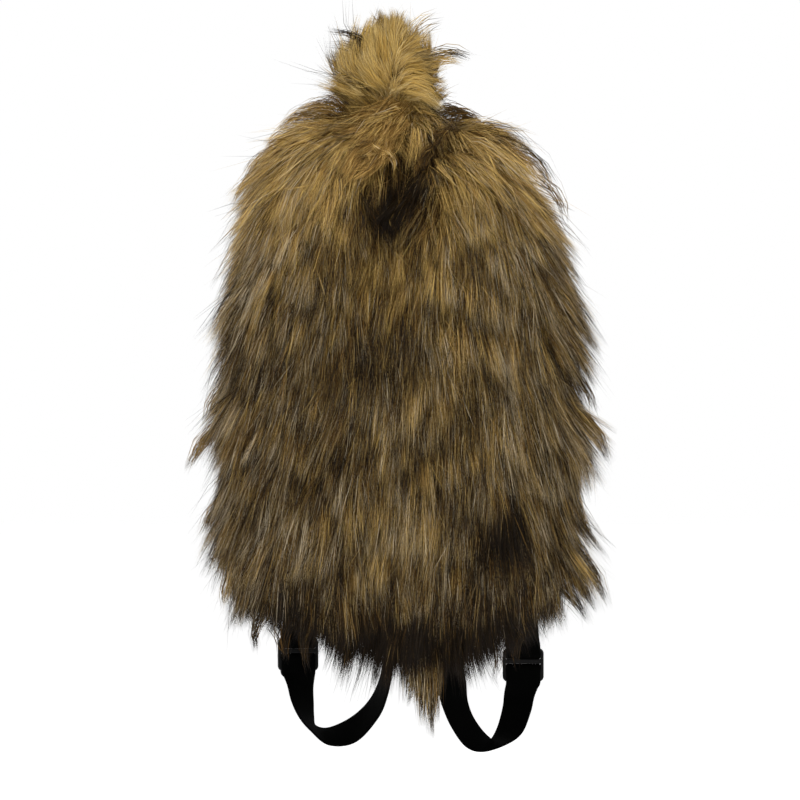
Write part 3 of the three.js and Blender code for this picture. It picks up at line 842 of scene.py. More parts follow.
def gather(roots, normals, count, chance):
    """Locks: the lock of each root, and each lock's own middle and normal."""
    centres = roots[chance.choice(len(roots), count, replace=False)]
    for _ in range(2):
        lock = nearest(roots, centres)
        size = np.maximum(np.bincount(lock, minlength=count), 1)[:, None]
        centres = np.stack([np.bincount(lock, roots[:, k], count) for k in range(3)], 1) / size
        facing = np.stack([np.bincount(lock, normals[:, k], count) for k in range(3)], 1)
    facing /= np.linalg.norm(facing, axis=1, keepdims=True) + 1e-9
    return lock, centres, facing


# %% Directions on the cloth
def tangent(directions, normals):
    """Directions laid flat on a surface."""
    flat = directions - (directions * normals).sum(-1, keepdims=True) * normals
    return unit(flat)


def turned(laid, normals, angle):
    """Directions turned about the normals."""
    angle = angle[:, None]
    return laid * np.cos(angle) + np.cross(normals, laid) * np.sin(angle)


def surface_of(grid):
    """A search tree over a grid's faces, to find the cloth under a strand."""
    rows, columns = grid.shape[:2]
    faces = []
    for row in range(rows - 1):
        for column in range(columns):
            a, b = row * columns + column, row * columns + (column + 1) % columns
            faces.append((b, a, a + columns, b + columns))
    return BVHTree.FromPolygons([Vector(p) for p in grid.reshape(-1, 3)], faces)


def normals_under(surface, points):
    """The normals of the cloth nearest to some points."""
    return np.array([surface.find_nearest(point)[1] for point in points])


# %% The points of many strands
def knots(steps):
    """Shares along a strand: short steps at the root, where it bends, and long ones after."""
    return (np.arange(steps + 1) / steps) ** 1.4


def strands(surface, nap, roots, normals, turn, length, lift, end_lift, droop, steps, curl=0.0):
    """The points of many strands, from root to tip.

    Each leaves at `lift` radians above the cloth and eases to `end_lift`,
    follows the nap turned by `turn`, bends with the cloth below it, and
    `droop` adds the pull of its own weight towards the tip. `curl` turns it
    further from the nap after the first step.
    """
    points = [roots]
    at = knots(steps)
    laid = turned(tangent(nap(roots, normals), normals), normals, turn)
    for near, far in zip(at[:-1], at[1:]):
        if near > 0:
            normals = normals_under(surface, points[-1])
            ahead = turned(tangent(nap(points[-1], normals), normals), normals, turn + curl)
            laid = unit(tangent(laid, normals) + ahead)
        share = (near + far) / 2
        angle = (end_lift + (lift - end_lift) * (1 - share) ** 1.5)[:, None]
        heading = np.cos(angle) * laid + np.sin(angle) * normals
        heading[:, 2] -= droop * share
        points.append(points[-1] + unit(heading) * length[:, None] * (far - near))
    return np.stack(points, 1)


# %% A dye for each strand
ALIKE = 0.9                 # how much the strands of a lock have in common, to 1 of their own
LOGISTIC = 1.702            # with this factor a logistic curve follows the normal one


def chosen_dyes(chance, count, rich, ash, leaning=0.0):
    """A dye for each strand: 0 rich, 1 plain or 2 ash, by the shares of the first and last.

    `leaning` is what the strands of a lock have in common, with a spread of 1.
    """
    draw = chance.normal(0, 1, count)
    draw = (draw + ALIKE * leaning) / np.hypot(1, ALIKE * np.any(leaning))
    pick = 1 / (1 + np.exp(-LOGISTIC * draw))
    return 1 - (pick < rich) + (pick > 1 - ash)


# %% Strands as ribbons, joined in one mesh
TAPER = 0.35                # how much of its width a ribbon loses before it ends in a point
TONE_MARGIN = 0.015         # keeps a tone inside its dye's part of the chart
UV_HALF = 0.002             # half the width of a strand in the chart
WIDTHS = 0.65, 1.25         # the thinnest and the thickest hair, to 1 of the usual one
ROLL = 1.2                  # radians that a ribbon may be turned about its own line


def ribbon_mesh(name, points, facing, width, tone, dye, roll):
    """Strands as narrow ribbons that taper to a point.

    A strand of n points has n - 1 pairs of corners and a single tip. `dye` and
    `tone` choose its place across the colour chart.
    """
    count, steps = points.shape[0], points.shape[1] - 1
    heading = unit(np.gradient(points, axis=1))
    side = unit(np.cross(heading, facing[:, None]))
    cosine, sine = np.cos(roll)[:, None, None], np.sin(roll)[:, None, None]
    side = side * cosine + np.cross(heading, side) * sine
    taper = 1 - TAPER * knots(steps)[:-1]
    half = 0.5 * width[:, None, None] * taper[None, :, None]
    left = points[:, :-1] - side[:, :-1] * half
    right = points[:, :-1] + side[:, :-1] * half
    corners = np.concatenate([np.stack([left, right], 2).reshape(count, -1, 3), points[:, -1:]], 1)
    faces = []
    for step in range(steps - 1):
        a = 2 * step
        faces += [(a, a + 1, a + 3), (a, a + 3, a + 2)]
    faces.append((2 * steps - 2, 2 * steps - 1, 2 * steps))
    faces = np.array(faces)
    each = 2 * steps + 1
    triangles = (faces[None] + each * np.arange(count)[:, None, None]).reshape(-1, 3)

    along = np.append(np.repeat(knots(steps)[:-1], 2), 1.0)
    lean = np.append(np.tile([-1.0, 1.0], steps), 0.0)
    uv = np.empty((count, each, 2))
    inside = np.clip(tone, TONE_MARGIN, 1 - TONE_MARGIN)
    uv[..., 0] = ((inside + dye) / DYES)[:, None] + UV_HALF * lean
    uv[..., 1] = along

    mesh = bpy.data.meshes.new(name)
    mesh.vertices.add(count * each)
    mesh.vertices.foreach_set("co", corners.ravel())
    mesh.loops.add(triangles.size)
    mesh.loops.foreach_set("vertex_index", triangles.ravel())
    mesh.polygons.add(len(triangles))
    mesh.polygons.foreach_set("loop_start", np.arange(0, triangles.size, 3))
    mesh.uv_layers.new(name=UV_MAP).data.foreach_set("uv", uv.reshape(-1, 2)[triangles.ravel()].ravel())
    mesh.update(calc_edges=True)
    mesh.shade_smooth()
    piece = bpy.data.objects.new(name, mesh)
    bpy.context.scene.collection.objects.link(piece)
    print(name, count, "strands,", len(triangles), "triangles")
    return piece


# %% Fur lies flat under the straps
UNDER_TAPE = 2.0 * MM       # from the middle of the tape in to the hair it presses
PRESSED_WIDTH = 12 * MM, 19 * MM               # from the strap's middle: all pressed, and free
BELOW_SEAM = 14 * MM        # how far under the sewn end the tape starts to press
BELOW_SLIDER = 40 * MM      # and how far under the slider's bar the loop goes on with it


def pressed(points):
    """Points of the fur behind the bag, moved in under the strap that lies on them."""
    height = points[..., 2]
    for route in strap_routes.values():
        line = route[:STRAP_STATIONS].mean(1)
        order = np.argsort(line[:, 2])
        x = np.interp(height, line[order, 2], line[order, 0])
        y = np.interp(height, line[order, 2], line[order, 1]) - UNDER_TAPE
        under = 1 - smooth(np.abs(points[..., 0] - x), *PRESSED_WIDTH)
        along = (height < line[0, 2] - BELOW_SEAM) & (height > line[:, 2].min() - BELOW_SLIDER)
        points[..., 1] -= np.clip(points[..., 1] - y, 0, None) * under * along
    return points


# %% No strand ends too far out
LONGEST_REACH = np.array([[12, 11, 30], [12, 9, 20]]) * MM    # past the CAD box: low and high sides


def within_reach(points):
    """Strands that would end too far out are shortened, without a change in their shape."""
    low, high = np.array(cad_box) + LONGEST_REACH * [[-1], [1]]
    root, way = points[:, :1], points - points[:, :1]
    with np.errstate(divide="ignore", invalid="ignore"):
        room = np.where(way > 0, (high - root) / way, np.where(way < 0, (low - root) / way, np.inf))
    share = np.clip(room.min((1, 2)), 0.2, 1)[:, None, None]
    return root + way * share


# %% The colour of each strand
SHOWS_AT = 0.6, 0.4         # where a strand shows: so much of its tip and of its root
SHOWS_OUT = 0.3             # and so much of the pile's depth off the cloth
BLUR = 3.5 * MM             # how far the fields of colour run into each other
FEW_STRAY = 1.3             # a power over 1 leaves most tones near their field's
SHOULDER_MIX = 0.55         # how much more the tones are mixed on the shoulders
DARK_MIX = 0.5              # and how much less where the fur is dark


def above(points, low, high):
    """0 below one height, 1 above another and an ease between, both in millimetres."""
    return smooth(points[..., 2], low * MM, high * MM)


def colours_of(points, normals, look, own, tint, leaning, chance):
    """The tone of each strand, its width and its dye."""
    shown = points[:, -1] * SHOWS_AT[0] + points[:, 0] * SHOWS_AT[1] + normals * PILE * SHOWS_OUT
    shown += chance.normal(0, BLUR, shown.shape)
    mixed = np.sign(own) * np.abs(own) ** FEW_STRAY * look["mixed"]
    mixed += tint
    mixed *= 1 + SHOULDER_MIX * above(shown, -150, -90)
    tone = look["tone"](shown)
    mixed *= 1 - DARK_MIX * smooth(tone, 0.75, 1.10)
    width = look["width"] * chance.uniform(*WIDTHS, len(shown))
    dye = chosen_dyes(chance, len(shown), look["rich"](shown), look["ash"](shown), leaning)
    return tone + mixed + look["darker"], width, dye


# %% Fur: strands gathered into thin and broad locks
RIM_SHORTER = 0.16          # the hairs at a lock's rim are shorter by this
STRAY_TURN = 2.2            # how much further a stray hair turns from the nap
STRAY_LONGER = 0.10
STRAY_HELD = 0.25           # how much of its lock's pull it feels
RISE_AT_END = 1.2           # a lock's rise at its tips, to 1 at its roots
OWN_RISE = 0.7, 0.5         # a strand's own rise at its root and at its tip
GRIP = 1.1                  # a lock's pull grows with this power of the way to the tip


def grow_fur(name, grid, keep, triangles, look, seed):
    """One piece of fur. `look` holds the sizes of the hair and the fields that steer it."""
    chance = np.random.default_rng(seed)
    steps = look["steps"]
    count = int(triangles / (2 * steps - 1))
    roots, normals, area = scatter(grid, count, keep, chance)

    locks = []
    spread, lengthen, raise_by, tint = (np.zeros(count) for _ in range(4))
    for spacing, pull, wander in look["locks"]:
        number = max(int(area / spacing ** 2), 8)
        lock, middles, facing = gather(roots, normals, number, chance)
        random = chance.normal(0, 1, (5, number)) * wander
        off = np.linalg.norm(roots - middles[lock], axis=1) / spacing
        locks.append((lock, middles, facing, pull, random))
        spread += random[0][lock] * look["spread"]
        lengthen += random[1][lock] * look["uneven"] - RIM_SHORTER * np.minimum(off, 1)
        raise_by += random[2][lock] * look["rise"]
        tint += random[3][lock] * look["tint"]
        leaning = random[4][lock] / wander

    own = chance.normal(0, 1, (4, count))
    stray = chance.random(count) < look["stray"]
    wild = np.where(stray, STRAY_TURN, 1.0)
    turn = spread + own[0] * look["spread"] * look["own_spread"] * wild
    turn *= look["tousled"](roots)
    length = look["length"](roots) * (1 + lengthen + own[1] * look["own_uneven"] + STRAY_LONGER * stray)
    at_root, at_tip = (own[2] * look["rise"] * amount * wild for amount in OWN_RISE)
    lift = look["lift"](roots, normals) + raise_by + at_root
    end_lift = look["end_lift"](roots, normals) + raise_by * RISE_AT_END + at_tip
    surface = surface_of(grid)
    points = strands(surface, look["nap"], roots, normals, turn, length, lift, end_lift,
                     look["droop"], steps, chance.normal(0, look["curl"], count))

    share = knots(steps)[None, :, None]
    for lock, middles, facing, pull, random in locks:
        guide = strands(surface, look["nap"], middles, facing,
                        random[0] * look["spread"] * look["tousled"](middles),
                        look["length"](middles) * (1 + random[1] * look["uneven"]),
                        look["lift"](middles, facing) + random[2] * look["rise"],
                        look["end_lift"](middles, facing) + random[2] * look["rise"] * RISE_AT_END,
                        look["droop"], steps)
        held = pull * look["drawn"](roots) * np.where(stray, STRAY_HELD, 1.0)
        points += (guide[lock] - points) * (held[:, None, None] * share ** GRIP)

    points = pressed(within_reach(points))
    tone, width, dye = colours_of(points, normals, look, own[3], tint, leaning, chance)
    return ribbon_mesh(name, points, normals, width, tone, dye, chance.uniform(-ROLL, ROLL, count))


# %% [markdown]
# ## The nap, the length and the tone of the bag's fur
#
# These are fields over the surface, each a plain function of a place. They
# could be painted as weights on the cloth, but a function can be read and
# changed in one line. Tones run from 0, golden, to 1, near-black. The pile is
# lighter on the shoulders, darkens to the bottom, and is broken into soft
# patches taller than they are wide. In the folds, at the crown and beside the
# crease under the neck, darker tone is also painted shade.

# %% Smooth noise from a few waves, and closeness to a place
def soft_noise(seed, shortest, longest, taller=1.0, count=18):
    """A function of points that wanders around 0, mostly within -1 and 1."""
    chance = np.random.default_rng(seed)
    heading = chance.uniform(0, 2 * math.pi, count)
    rate = 2 * math.pi / chance.uniform(shortest, longest, count)
    phase = chance.uniform(0, 2 * math.pi, (count, 1))
    waves = np.stack([np.cos(heading) * rate, np.sin(heading) * rate / taller], 1)

    def value(points):
        side = np.stack([points[..., 0] + 0.7 * points[..., 1], points[..., 2]], 0)
        return np.sin(np.tensordot(waves, side, 1) + phase).sum(0) * math.sqrt(2 / count) * 0.7
    return value


def closeness(points, centre, reach):
    """1 at a centre, fading to 0 about two reaches away."""
    return np.exp(-((points - centre) ** 2).sum(1) / reach ** 2)


def spot(points, x, z, reach):
    """1 at a place on the front or back, fading to 0 about two reaches away."""
    off = (points[:, 0] / MM - x) ** 2 + (points[:, 2] / MM - z) ** 2
    return np.exp(-off / reach ** 2)


# %% Places on the bag where the fur changes
CROWN = np.array([-10, -118, -106]) * MM      # where tips meet and face outwards
CROWN_REACH = 24 * MM

TONE_BY_HEIGHT = [(-455, 1.25), (-430, 1.18), (-408, 0.84), (-385, 0.62), (-330, 0.60), (-220, 0.61),
                  (-160, 0.46), (-120, 0.28), (-90, 0.20), (-60, 0.19), (-30, 0.20)]
TONE_AND_SHADE_PATCHES = [                                    # x, z, half width, half height, change of tone, some of it painted shade
    # The first four darken the crown and beside the crease right of the neck: darker hair and painted shade
    # together.
    (-13, -115, 29, 25, 0.80),
    (13, -96, 13, 16, 0.60),
    (58, -44, 20, 13, 0.22),
    (38, -42, 9, 10, 0.34),
    (-14, -76, 22, 16, 0.07),
    (-24, -84, 20, 13, -0.05),
    (-5, -62, 9, 8, -0.12),
    (70, -76, 26, 10, -0.12),
    (78, -235, 34, 60, -0.14),
    (-4, -385, 36, 44, -0.10),
    (80, -358, 20, 25, 0.56),
    (92, -385, 28, 34, 0.04),
    (18, -178, 24, 44, 0.06),
    (-20, -240, 50, 60, 0.03),
]
COMBED = [                                     # x, z, which way the hair lies there, reach
    (3, -34, -0.55, -0.85, 14), (-15, -49, -0.60, -0.80, 14), (-37, -52, -0.85, -0.50, 14),
    (-45, -34, -0.95, -0.10, 12), (-75, -49, -0.85, -0.55, 20), (-3, -60, 0.75, 0.30, 7),
    (-19, -79, -0.30, -0.95, 12), (-3, -84, -0.10, -0.99, 10), (20, -46, -0.35, -0.93, 11),
    (52, -49, 0.75, -0.65, 13), (36, -70, 0.60, -0.80, 11), (75, -68, 0.75, -0.66, 20),
]
FLARES = [                                     # locks that stand out at the sides: x, z, reach
    (-110, -244, 11), (-112, -322, 14), (112, -256, 13), (110, -366, 15), (-104, -385, 14),
    (-108, -160, 12), (108, -200, 12), (112, -318, 10),
]
SHORTER = [                                    # x, z, reach, share of the length taken off
    (-80, -420, 28, 0.60), (-60, -426, 14, 0.30), (98, -424, 24, 0.50), (-118, -412, 22, 0.60),
    (116, -404, 22, 0.46), (-104, -394, 13, 0.32), (-86, -40, 20, 0.10), (66, -40, 16, 0.18),
]

RUSTY = (-4, -160, 52)                         # x, z, reach of the rich hair below the crown
GOLDEN = (-14, -72, 34)                        # and of the rich hair on the whorl
print("patches:", len(TONE_AND_SHADE_PATCHES), "combed places:", len(COMBED), "flares:", len(FLARES))

# %% Which way the bag's hair lies
bag_lean = soft_noise(3, 60 * MM, 160 * MM)
bag_patch = soft_noise(4, 34 * MM, 90 * MM, taller=1.3)
bag_fleck = soft_noise(5, 9 * MM, 22 * MM, taller=1.6)
LEANS_LEFT = 0.07           # of the whole pile, to 1 down
COMBING = 0.35              # strength of the pile's own nap against the combed places


def bag_nap(points, normals):
    """Down the bag and a little outwards, and as it was combed under the neck."""
    down = np.zeros_like(points)
    down[:, 2] = -1.0
    down[:, 0] = points[:, 0] - LEANS_LEFT + 0.10 * bag_lean(points)
    from_neck = unit(points - np.array([NECK_X, SEAM_Y, NECK_Z]))
    down += from_neck * above(points, -110, -60)[:, None] * 1.2
    laid = unit(down) * COMBING
    front = points[:, 1] < SEAM_Y + 10 * MM
    for x, z, along_x, along_z, reach in COMBED:
        weight = (spot(points, x, z, reach) * front)[:, None]
        laid += weight * np.array([along_x, -0.3, along_z])
    return tangent(laid, normals)


# %% How far the bag's hair stands off, and how long it is
def hanging(normals):
    """1 where the cloth faces the ground, so that hair hangs straight off it."""
    return smooth(-normals[:, 2], 0.25, 0.90)


def flared(points):
    """1 where locks stand out at the sides."""
    return np.clip(sum(spot(points, *flare) for flare in FLARES), 0, 1)


def bag_lift(points, normals):
    to_crown = closeness(points, CROWN, CROWN_REACH)
    return math.radians(54) + math.radians(22) * to_crown + math.radians(24) * hanging(normals)


def bag_end_lift(points, normals):
    to_crown = closeness(points, CROWN, CROWN_REACH)
    on_top = smooth(normals[:, 2], 0.3, 0.9)
    at_side = smooth(np.abs(normals[:, 0]), 0.7, 1.0)
    return (math.radians(12) + math.radians(44) * to_crown + math.radians(6) * on_top
            + math.radians(9) * at_side + math.radians(13) * flared(points)
            + math.radians(70) * hanging(normals))


BAG_HAIR = 47 * MM


def bag_length(points):
    length = BAG_HAIR * (1 + 0.10 * bag_patch(points * 1.3) + 0.18 * flared(points))
    length = length * (1 - 0.18 * above(points, -85, -45))
    for x, z, reach, less in SHORTER:
        length = length * (1 - less * spot(points, x, z, reach))
    return length


def bag_tousled(points):
    """How much more its locks stray from the nap on the shoulders, which are handled."""
    return 1 + 1.1 * above(points, -150, -80)


def bag_drawn(points):
    """How much more its hairs cling there, in small tufts."""
    return 1 + 0.38 * above(points, -160, -100)


# %% The tone and the dyes of the bag's hair
FOLD_PAINTED_SHADE = 0.50          # painted shade: how much darker the hair along the folds is made, for the shadow in them


def bag_tone(points):
    """0 golden to 1 near-black."""
    heights, tones = np.array(TONE_BY_HEIGHT).T
    tone = np.interp(points[:, 2], heights * MM, tones)
    tone = tone + 0.08 * bag_patch(points) + 0.11 * bag_fleck(points)
    front = smooth(-points[:, 1], -SEAM_Y, -SEAM_Y + 30 * MM)
    x, z = points[:, 0] / MM, points[:, 2] / MM
    # patches of tone; at the crown and beside the crease they are partly painted shade
    for at_x, at_z, half_x, half_z, change in TONE_AND_SHADE_PATCHES:
        tone += front * change * np.exp(-((x - at_x) / half_x) ** 2 - ((z - at_z) / half_z) ** 2)
    # painted shade in the folds, where their shadow falls
    for *line, _ in GROOVES:
        tone += FOLD_PAINTED_SHADE * line_closeness(points, *line)
    return tone


def bag_rich(points):
    """The share of rich hair: on the shoulders, and most in the middle below the crown."""
    front = points[:, 1] < SEAM_Y
    share = 0.14 + 0.08 * bag_fleck(points * 0.6) + 0.36 * above(points, -170, -90)
    return share + front * (0.55 * spot(points, *RUSTY) + 0.40 * spot(points, *GOLDEN))


def bag_ash(points):
    """The share of ash hair: more at the sides and below, little on the shoulders."""
    front = points[:, 1] < SEAM_Y
    share = 0.34 + 0.10 * bag_fleck(points * 0.7) + 0.16 * smooth(np.abs(points[:, 0]), 50 * MM, 110 * MM)
    share = share * (1 - 0.72 * above(points, -170, -90))
    return share * (1 - front * (0.8 * spot(points, *RUSTY) + 0.9 * spot(points, *GOLDEN)))


# %% The look of the bag's pile, and of the guard hair in it
BAG_LOOK = {
    "steps": 2, "width": 0.34 * MM, "droop": 0.20, "darker": 0.0,
    "locks": [(12 * MM, 0.38, 1.1), (5.5 * MM, 0.36, 0.9)],      # spacing, pull, wander
    "spread": math.radians(8), "own_spread": 1.3, "curl": math.radians(17),
    "uneven": 0.11, "own_uneven": 0.12, "rise": math.radians(5.5),
    "tint": 0.090, "mixed": 0.36, "stray": 0.05,
    "nap": bag_nap, "lift": bag_lift, "end_lift": bag_end_lift,
    "length": bag_length, "tone": bag_tone, "rich": bag_rich, "ash": bag_ash,
    "tousled": bag_tousled, "drawn": bag_drawn,
}
GUARD_LOOK = BAG_LOOK | {
    "steps": 3, "width": 0.42 * MM, "droop": 0.24, "darker": 0.42,
    "locks": [(13 * MM, 0.30, 1.3), (7 * MM, 0.75, 0.9)],
    "length": lambda points: bag_length(points) * 1.14,
    "end_lift": lambda points, normals: bag_end_lift(points, normals) + math.radians(5),
    "mixed": 0.12,
    "tone": lambda points: bag_tone(points) - 0.26 * above(points, -130, -80),
}

# %% [markdown]
# ## Growing the bag's fur
#
# One mesh of all the hair would be too big to keep whole, so the pile is grown
# in bands, three on the front and two on the back. Over them stands the guard
# hair: longer, stiffer, darker and few. It is the same function with a few
# values of the look changed.

# %% Grow the bag's fur, front and back, in bands
FRONT_BANDS = [(0.0, -0.165), (-0.165, -0.300), (-0.300, -1.0)]      # top and bottom, in metres
BACK_BANDS = [(0.0, -0.230), (-0.230, -1.0)]


def band(front, top, bottom):
    """A test for the points of the front or back between two heights."""
    def keep(points):
        side = points[..., 1] < SEAM_Y if front else points[..., 1] >= SEAM_Y
        return side & (points[..., 2] <= top) & (points[..., 2] > bottom)
    return keep


def grow_bands(side, bands, triangles, seed):
    """The pile of one side. Its first band stands for that side's CAD panel."""
    for number, (top, bottom) in enumerate(bands):
        keep = band(side == "front", top, bottom)
        fur = grow_fur(f"{side}_fur_{number + 1}", bag_grid, keep, triangles, BAG_LOOK, seed + number)
        finish_piece(fur, "fur", fur_material, *([f"fur_{side}_panel"] if number == 0 else []))


grow_bands("front", FRONT_BANDS, triangles=150_000, seed=100)
grow_bands("back", BACK_BANDS, triangles=104_000, seed=200)
for side, triangles, seed in [("front", 60_000, 120), ("back", 40_000, 220)]:
    keep = band(side == "front", 0.0, -1.0)
    guard = grow_fur(f"{side}_guard_hair", bag_grid, keep, triangles, GUARD_LOOK, seed)
    finish_piece(guard, "fur", fur_material)

# %% [markdown]
# ## The puff
#
# The puff is the gathered top edge of the pelt, a ball of paler hair that fans
# up and out from the neck. A ball of evenly outward hair would look like a
# pompom. This one is parted and flattened by handling, so it grows by the same
# function as the bag's pile, with a nap, a length and a lift of its own.

# %% Which way the puff's hair lies, how far it stands off, and how long it is
NECK = np.array([4, -56, -64]) * MM            # the point that its hair fans out from
PUFF_HOLLOW = np.array([0, -86, 6]) * MM       # and the hollow that it lies away from on the right
PUFF_FLARES = [(36, -2, 8), (-40, 14, 9)]      # locks that stand out: x, z, reach
PUFF_HAIR = 33 * MM


def puff_nap(points, normals):
    """Up and out from the neck on the left, and away from a hollow on the right."""
    right = smooth(points[:, :1], -6 * MM, 12 * MM) * above(points, -52, -34)[:, None]
    right = right * (points[:, 1:2] < SEAM_Y)
    fan, around = tangent(points - NECK, normals), tangent(points - PUFF_HOLLOW, normals)
    sideways = np.array([2.6, 0.0, -1.4]) * right * (1 - right)
    return fan * (1 - right) + around * right + sideways


def puff_flared(points):
    return np.clip(sum(spot(points, *flare) for flare in PUFF_FLARES), 0, 1)


def puff_end_lift(points, normals):
    """The hair stands out at the sides and lies down on the front and back."""
    at_side = smooth(np.abs(normals[:, 0]), 0.4, 1.0)
    left = smooth(-normals[:, 0], 0.0, 0.8)
    low = 1 - above(points, -30, 5)
    on_top = smooth(normals[:, 2], 0.5, 1.0)
    return (math.radians(12) + math.radians(14) * at_side + math.radians(16) * at_side * low * left
            + math.radians(22) * on_top + math.radians(10) * puff_flared(points))


def puff_length(points):
    """Shorter at the neck, on top and at the two upper corners."""
    low_right = smooth(points[:, 0], 0, 14 * MM) * (1 - above(points, -32, -14))
    low_left = smooth(-points[:, 0], 10 * MM, 26 * MM) * (1 - above(points, -32, -8))
    corner = smooth(np.abs(points[:, 0] + 7 * MM), 7 * MM, 20 * MM) * above(points, -4, 12)
    shorter = 0.42 * low_right + 0.24 * low_left + 0.46 * above(points, 2, 16) + 0.26 * corner
    return PUFF_HAIR * (1 - shorter + 0.30 * puff_flared(points))


# %% The look of the puff
puff_fleck = soft_noise(8, 12 * MM, 30 * MM)


def evenly(points):
    """1 all over."""
    return np.ones(points.shape[:-1])


PUFF_LOOK = {
    "steps": 3, "width": 0.31 * MM, "droop": 0.0, "darker": 0.0,
    "locks": [(12 * MM, 0.42, 1.5), (5 * MM, 0.42, 1.0)],
    "spread": math.radians(14), "own_spread": 0.6, "curl": math.radians(6),
    "uneven": 0.20, "own_uneven": 0.06, "rise": math.radians(7),
    "tint": 0.05, "mixed": 0.09, "stray": 0.08,
    "nap": puff_nap, "lift": lambda points, normals: np.full(len(points), math.radians(50)),
    "end_lift": puff_end_lift, "length": puff_length,
    "tone": lambda points: 0.49 + 0.07 * puff_fleck(points),
    "rich": lambda points: 0.30 + 0.15 * puff_fleck(points * 0.8),
    "ash": lambda points: 0.12 + 0.14 * puff_fleck(points * 0.6),
    "tousled": evenly, "drawn": evenly,
}
PUFF_GUARD_LOOK = PUFF_LOOK | {
    "locks": [(7 * MM, 0.6, 1.5)], "darker": 0.55, "mixed": 0.10, "width": 0.36 * MM,
    "length": lambda points: puff_length(points) * 1.28,
    "end_lift": lambda points, normals: puff_end_lift(points, normals) + math.radians(8),
}


# %% Grow the puff
def puff_sides(points):
    """Guard hair stands at the two upper sides of the puff."""
    left = (points[..., 0] < -22 * MM) & (points[..., 2] > -26 * MM)
    right = (points[..., 0] > 8 * MM) & (points[..., 2] > -4 * MM)
    return left | right


puff = grow_fur("puff_hair", puff_grid, evenly, 98_000, PUFF_LOOK, seed=300)
finish_piece(puff, "puff_fur", puff_material, "fur_puff")
puff_guard = grow_fur("puff_guard_hair", puff_grid, puff_sides, 700, PUFF_GUARD_LOOK, seed=310)
finish_piece(puff_guard, "puff_fur", puff_material)

# %% [markdown]
# ## The locks that spill over the gathers
#
# Where the neck is drawn shut, golden locks of the puff fall over the folds of
# the bag, a small whorl shows pale tips, and dark locks laid in the deepest
# fold paint its shadow. The nap can't do this, because these locks cross it.
# They are drawn flat instead, as x and z, and laid on the fur by a table of how
# far forward it reaches.

# %% Where the spilled locks lie
SPILL_LINES = [    # x, z of three marks along each line the locks follow
    ((7, -33), (-5, -48), (-32, -68)), ((9, -36), (0, -54), (-18, -80)),
    ((3, -31), (-22, -44), (-56, -54)), ((-5, -40), (-28, -66), (-47, -94)),
    ((5, -34), (-12, -54), (-40, -84)), ((-3, -46), (-16, -70), (-32, -92)),
]
SPILLED = 36                # locks on those lines
WHORL = (-16, -68)          # x, z of a small whorl of pale tips
WHORL_LOCKS = 7
SHADOWED_CREASE = ((46, -36), (10, -86))                # x, z where the painted shadow of the crease begins and ends
CREASE_SHADOW_LOCKS = 12
STRAY_TONE = 0.17           # spread of the tones within a lock


# %% How far forward the fur reaches
TABLE_STEP = 3              # millimetres between two places of the table
TABLE_X = np.arange(-126, 127, TABLE_STEP) * MM
TABLE_Z = np.arange(-186, 7, TABLE_STEP) * MM


def front_depths(names, xs, zs):
    """The nearest y to the front over a table of x and z, eased over hollows."""
    tree = tree_of(*names)
    table = np.full((len(zs), len(xs)), SEAM_Y)
    for row, z in enumerate(zs):
        for column, x in enumerate(xs):
            hit = tree.ray_cast(Vector((x, cad_box[0][1] - 0.1, z)), Vector((0, 1, 0)))[0]
            if hit:
                table[row, column] = hit.y
    for _ in range(6):
        eased = table.copy()
        eased[1:-1, 1:-1] = (table[:-2, 1:-1] + table[2:, 1:-1] + table[1:-1, :-2] + table[1:-1, 2:]) / 4
        table = np.minimum(table * 0.5 + eased * 0.5, eased + 1 * MM)
    return table


def looked_up(table, x, z):
    """Values of the table at places between its own."""
    column, row = (x - TABLE_X[0]) / (TABLE_STEP * MM), (z - TABLE_Z[0]) / (TABLE_STEP * MM)
    left, low = np.floor(column).astype(int), np.floor(row).astype(int)
    part, rise = column - left, row - low
    return ((table[low, left] * (1 - part) + table[low, left + 1] * part) * (1 - rise)
            + (table[low + 1, left] * (1 - part) + table[low + 1, left + 1] * part) * rise)


# %% The strands of one lock
FINE_STEPS = 4              # steps of each strand that is given its place directly, not grown


def lock_strands(chance, start, way, bend, count, width):
    """The x and z of the strands of one lock, which draw in from `width` to its tip."""
    share = knots(FINE_STEPS)
    reach = chance.uniform(0.55, 1.05, (count, 1)) * share
    across = np.array([-way[1], way[0]]) / np.linalg.norm(way)
    aside = chance.normal(0, width, (count, 1)) * (1 - 0.8 * reach)
    wave = bend * np.sin(reach * 3.4 + chance.normal(0, 0.35, (count, 1)))
    return start + reach[..., None] * way + (aside + wave)[..., None] * across


def swung(way, turn, length):
    """A direction in x and z turned by an angle and made as long as asked."""
    turned_way = np.array([way[0] * math.cos(turn) - way[1] * math.sin(turn),
                           way[0] * math.sin(turn) + way[1] * math.cos(turn)])
    return turned_way * length / np.linalg.norm(way)


def on_line(marks, part):
    """The x and z at a share of a line of three marks, which goes on straight past its end."""
    marks = np.array(marks, float)
    return np.array([np.interp(part, [0, 0.5, 1, 1.5], np.append(column, 2 * column[2] - column[1]))
                     for column in marks.T])


# %% Three kinds of lock
def spill_lock(chance, number, at):
    """A lock that starts at a share of its line: strands, tone, dyes, rise of its arch, depth."""
    line = SPILL_LINES[number % len(SPILL_LINES)]
    start = on_line(line, at)
    way = swung(on_line(line, at + 0.45) - start, chance.normal(0, 0.24), chance.uniform(22, 33))
    start = start + chance.normal(0, 3.0, 2)
    hairs = lock_strands(chance, start, way, chance.uniform(-3.5, 3.5), 46, 3.4)
    tone = 0.43 + 0.10 * at + chance.normal(0, 0.08)
    return hairs, tone, (0.86, 0.02), 7.4, 6.6 + 4.0 * (at < 0.15)


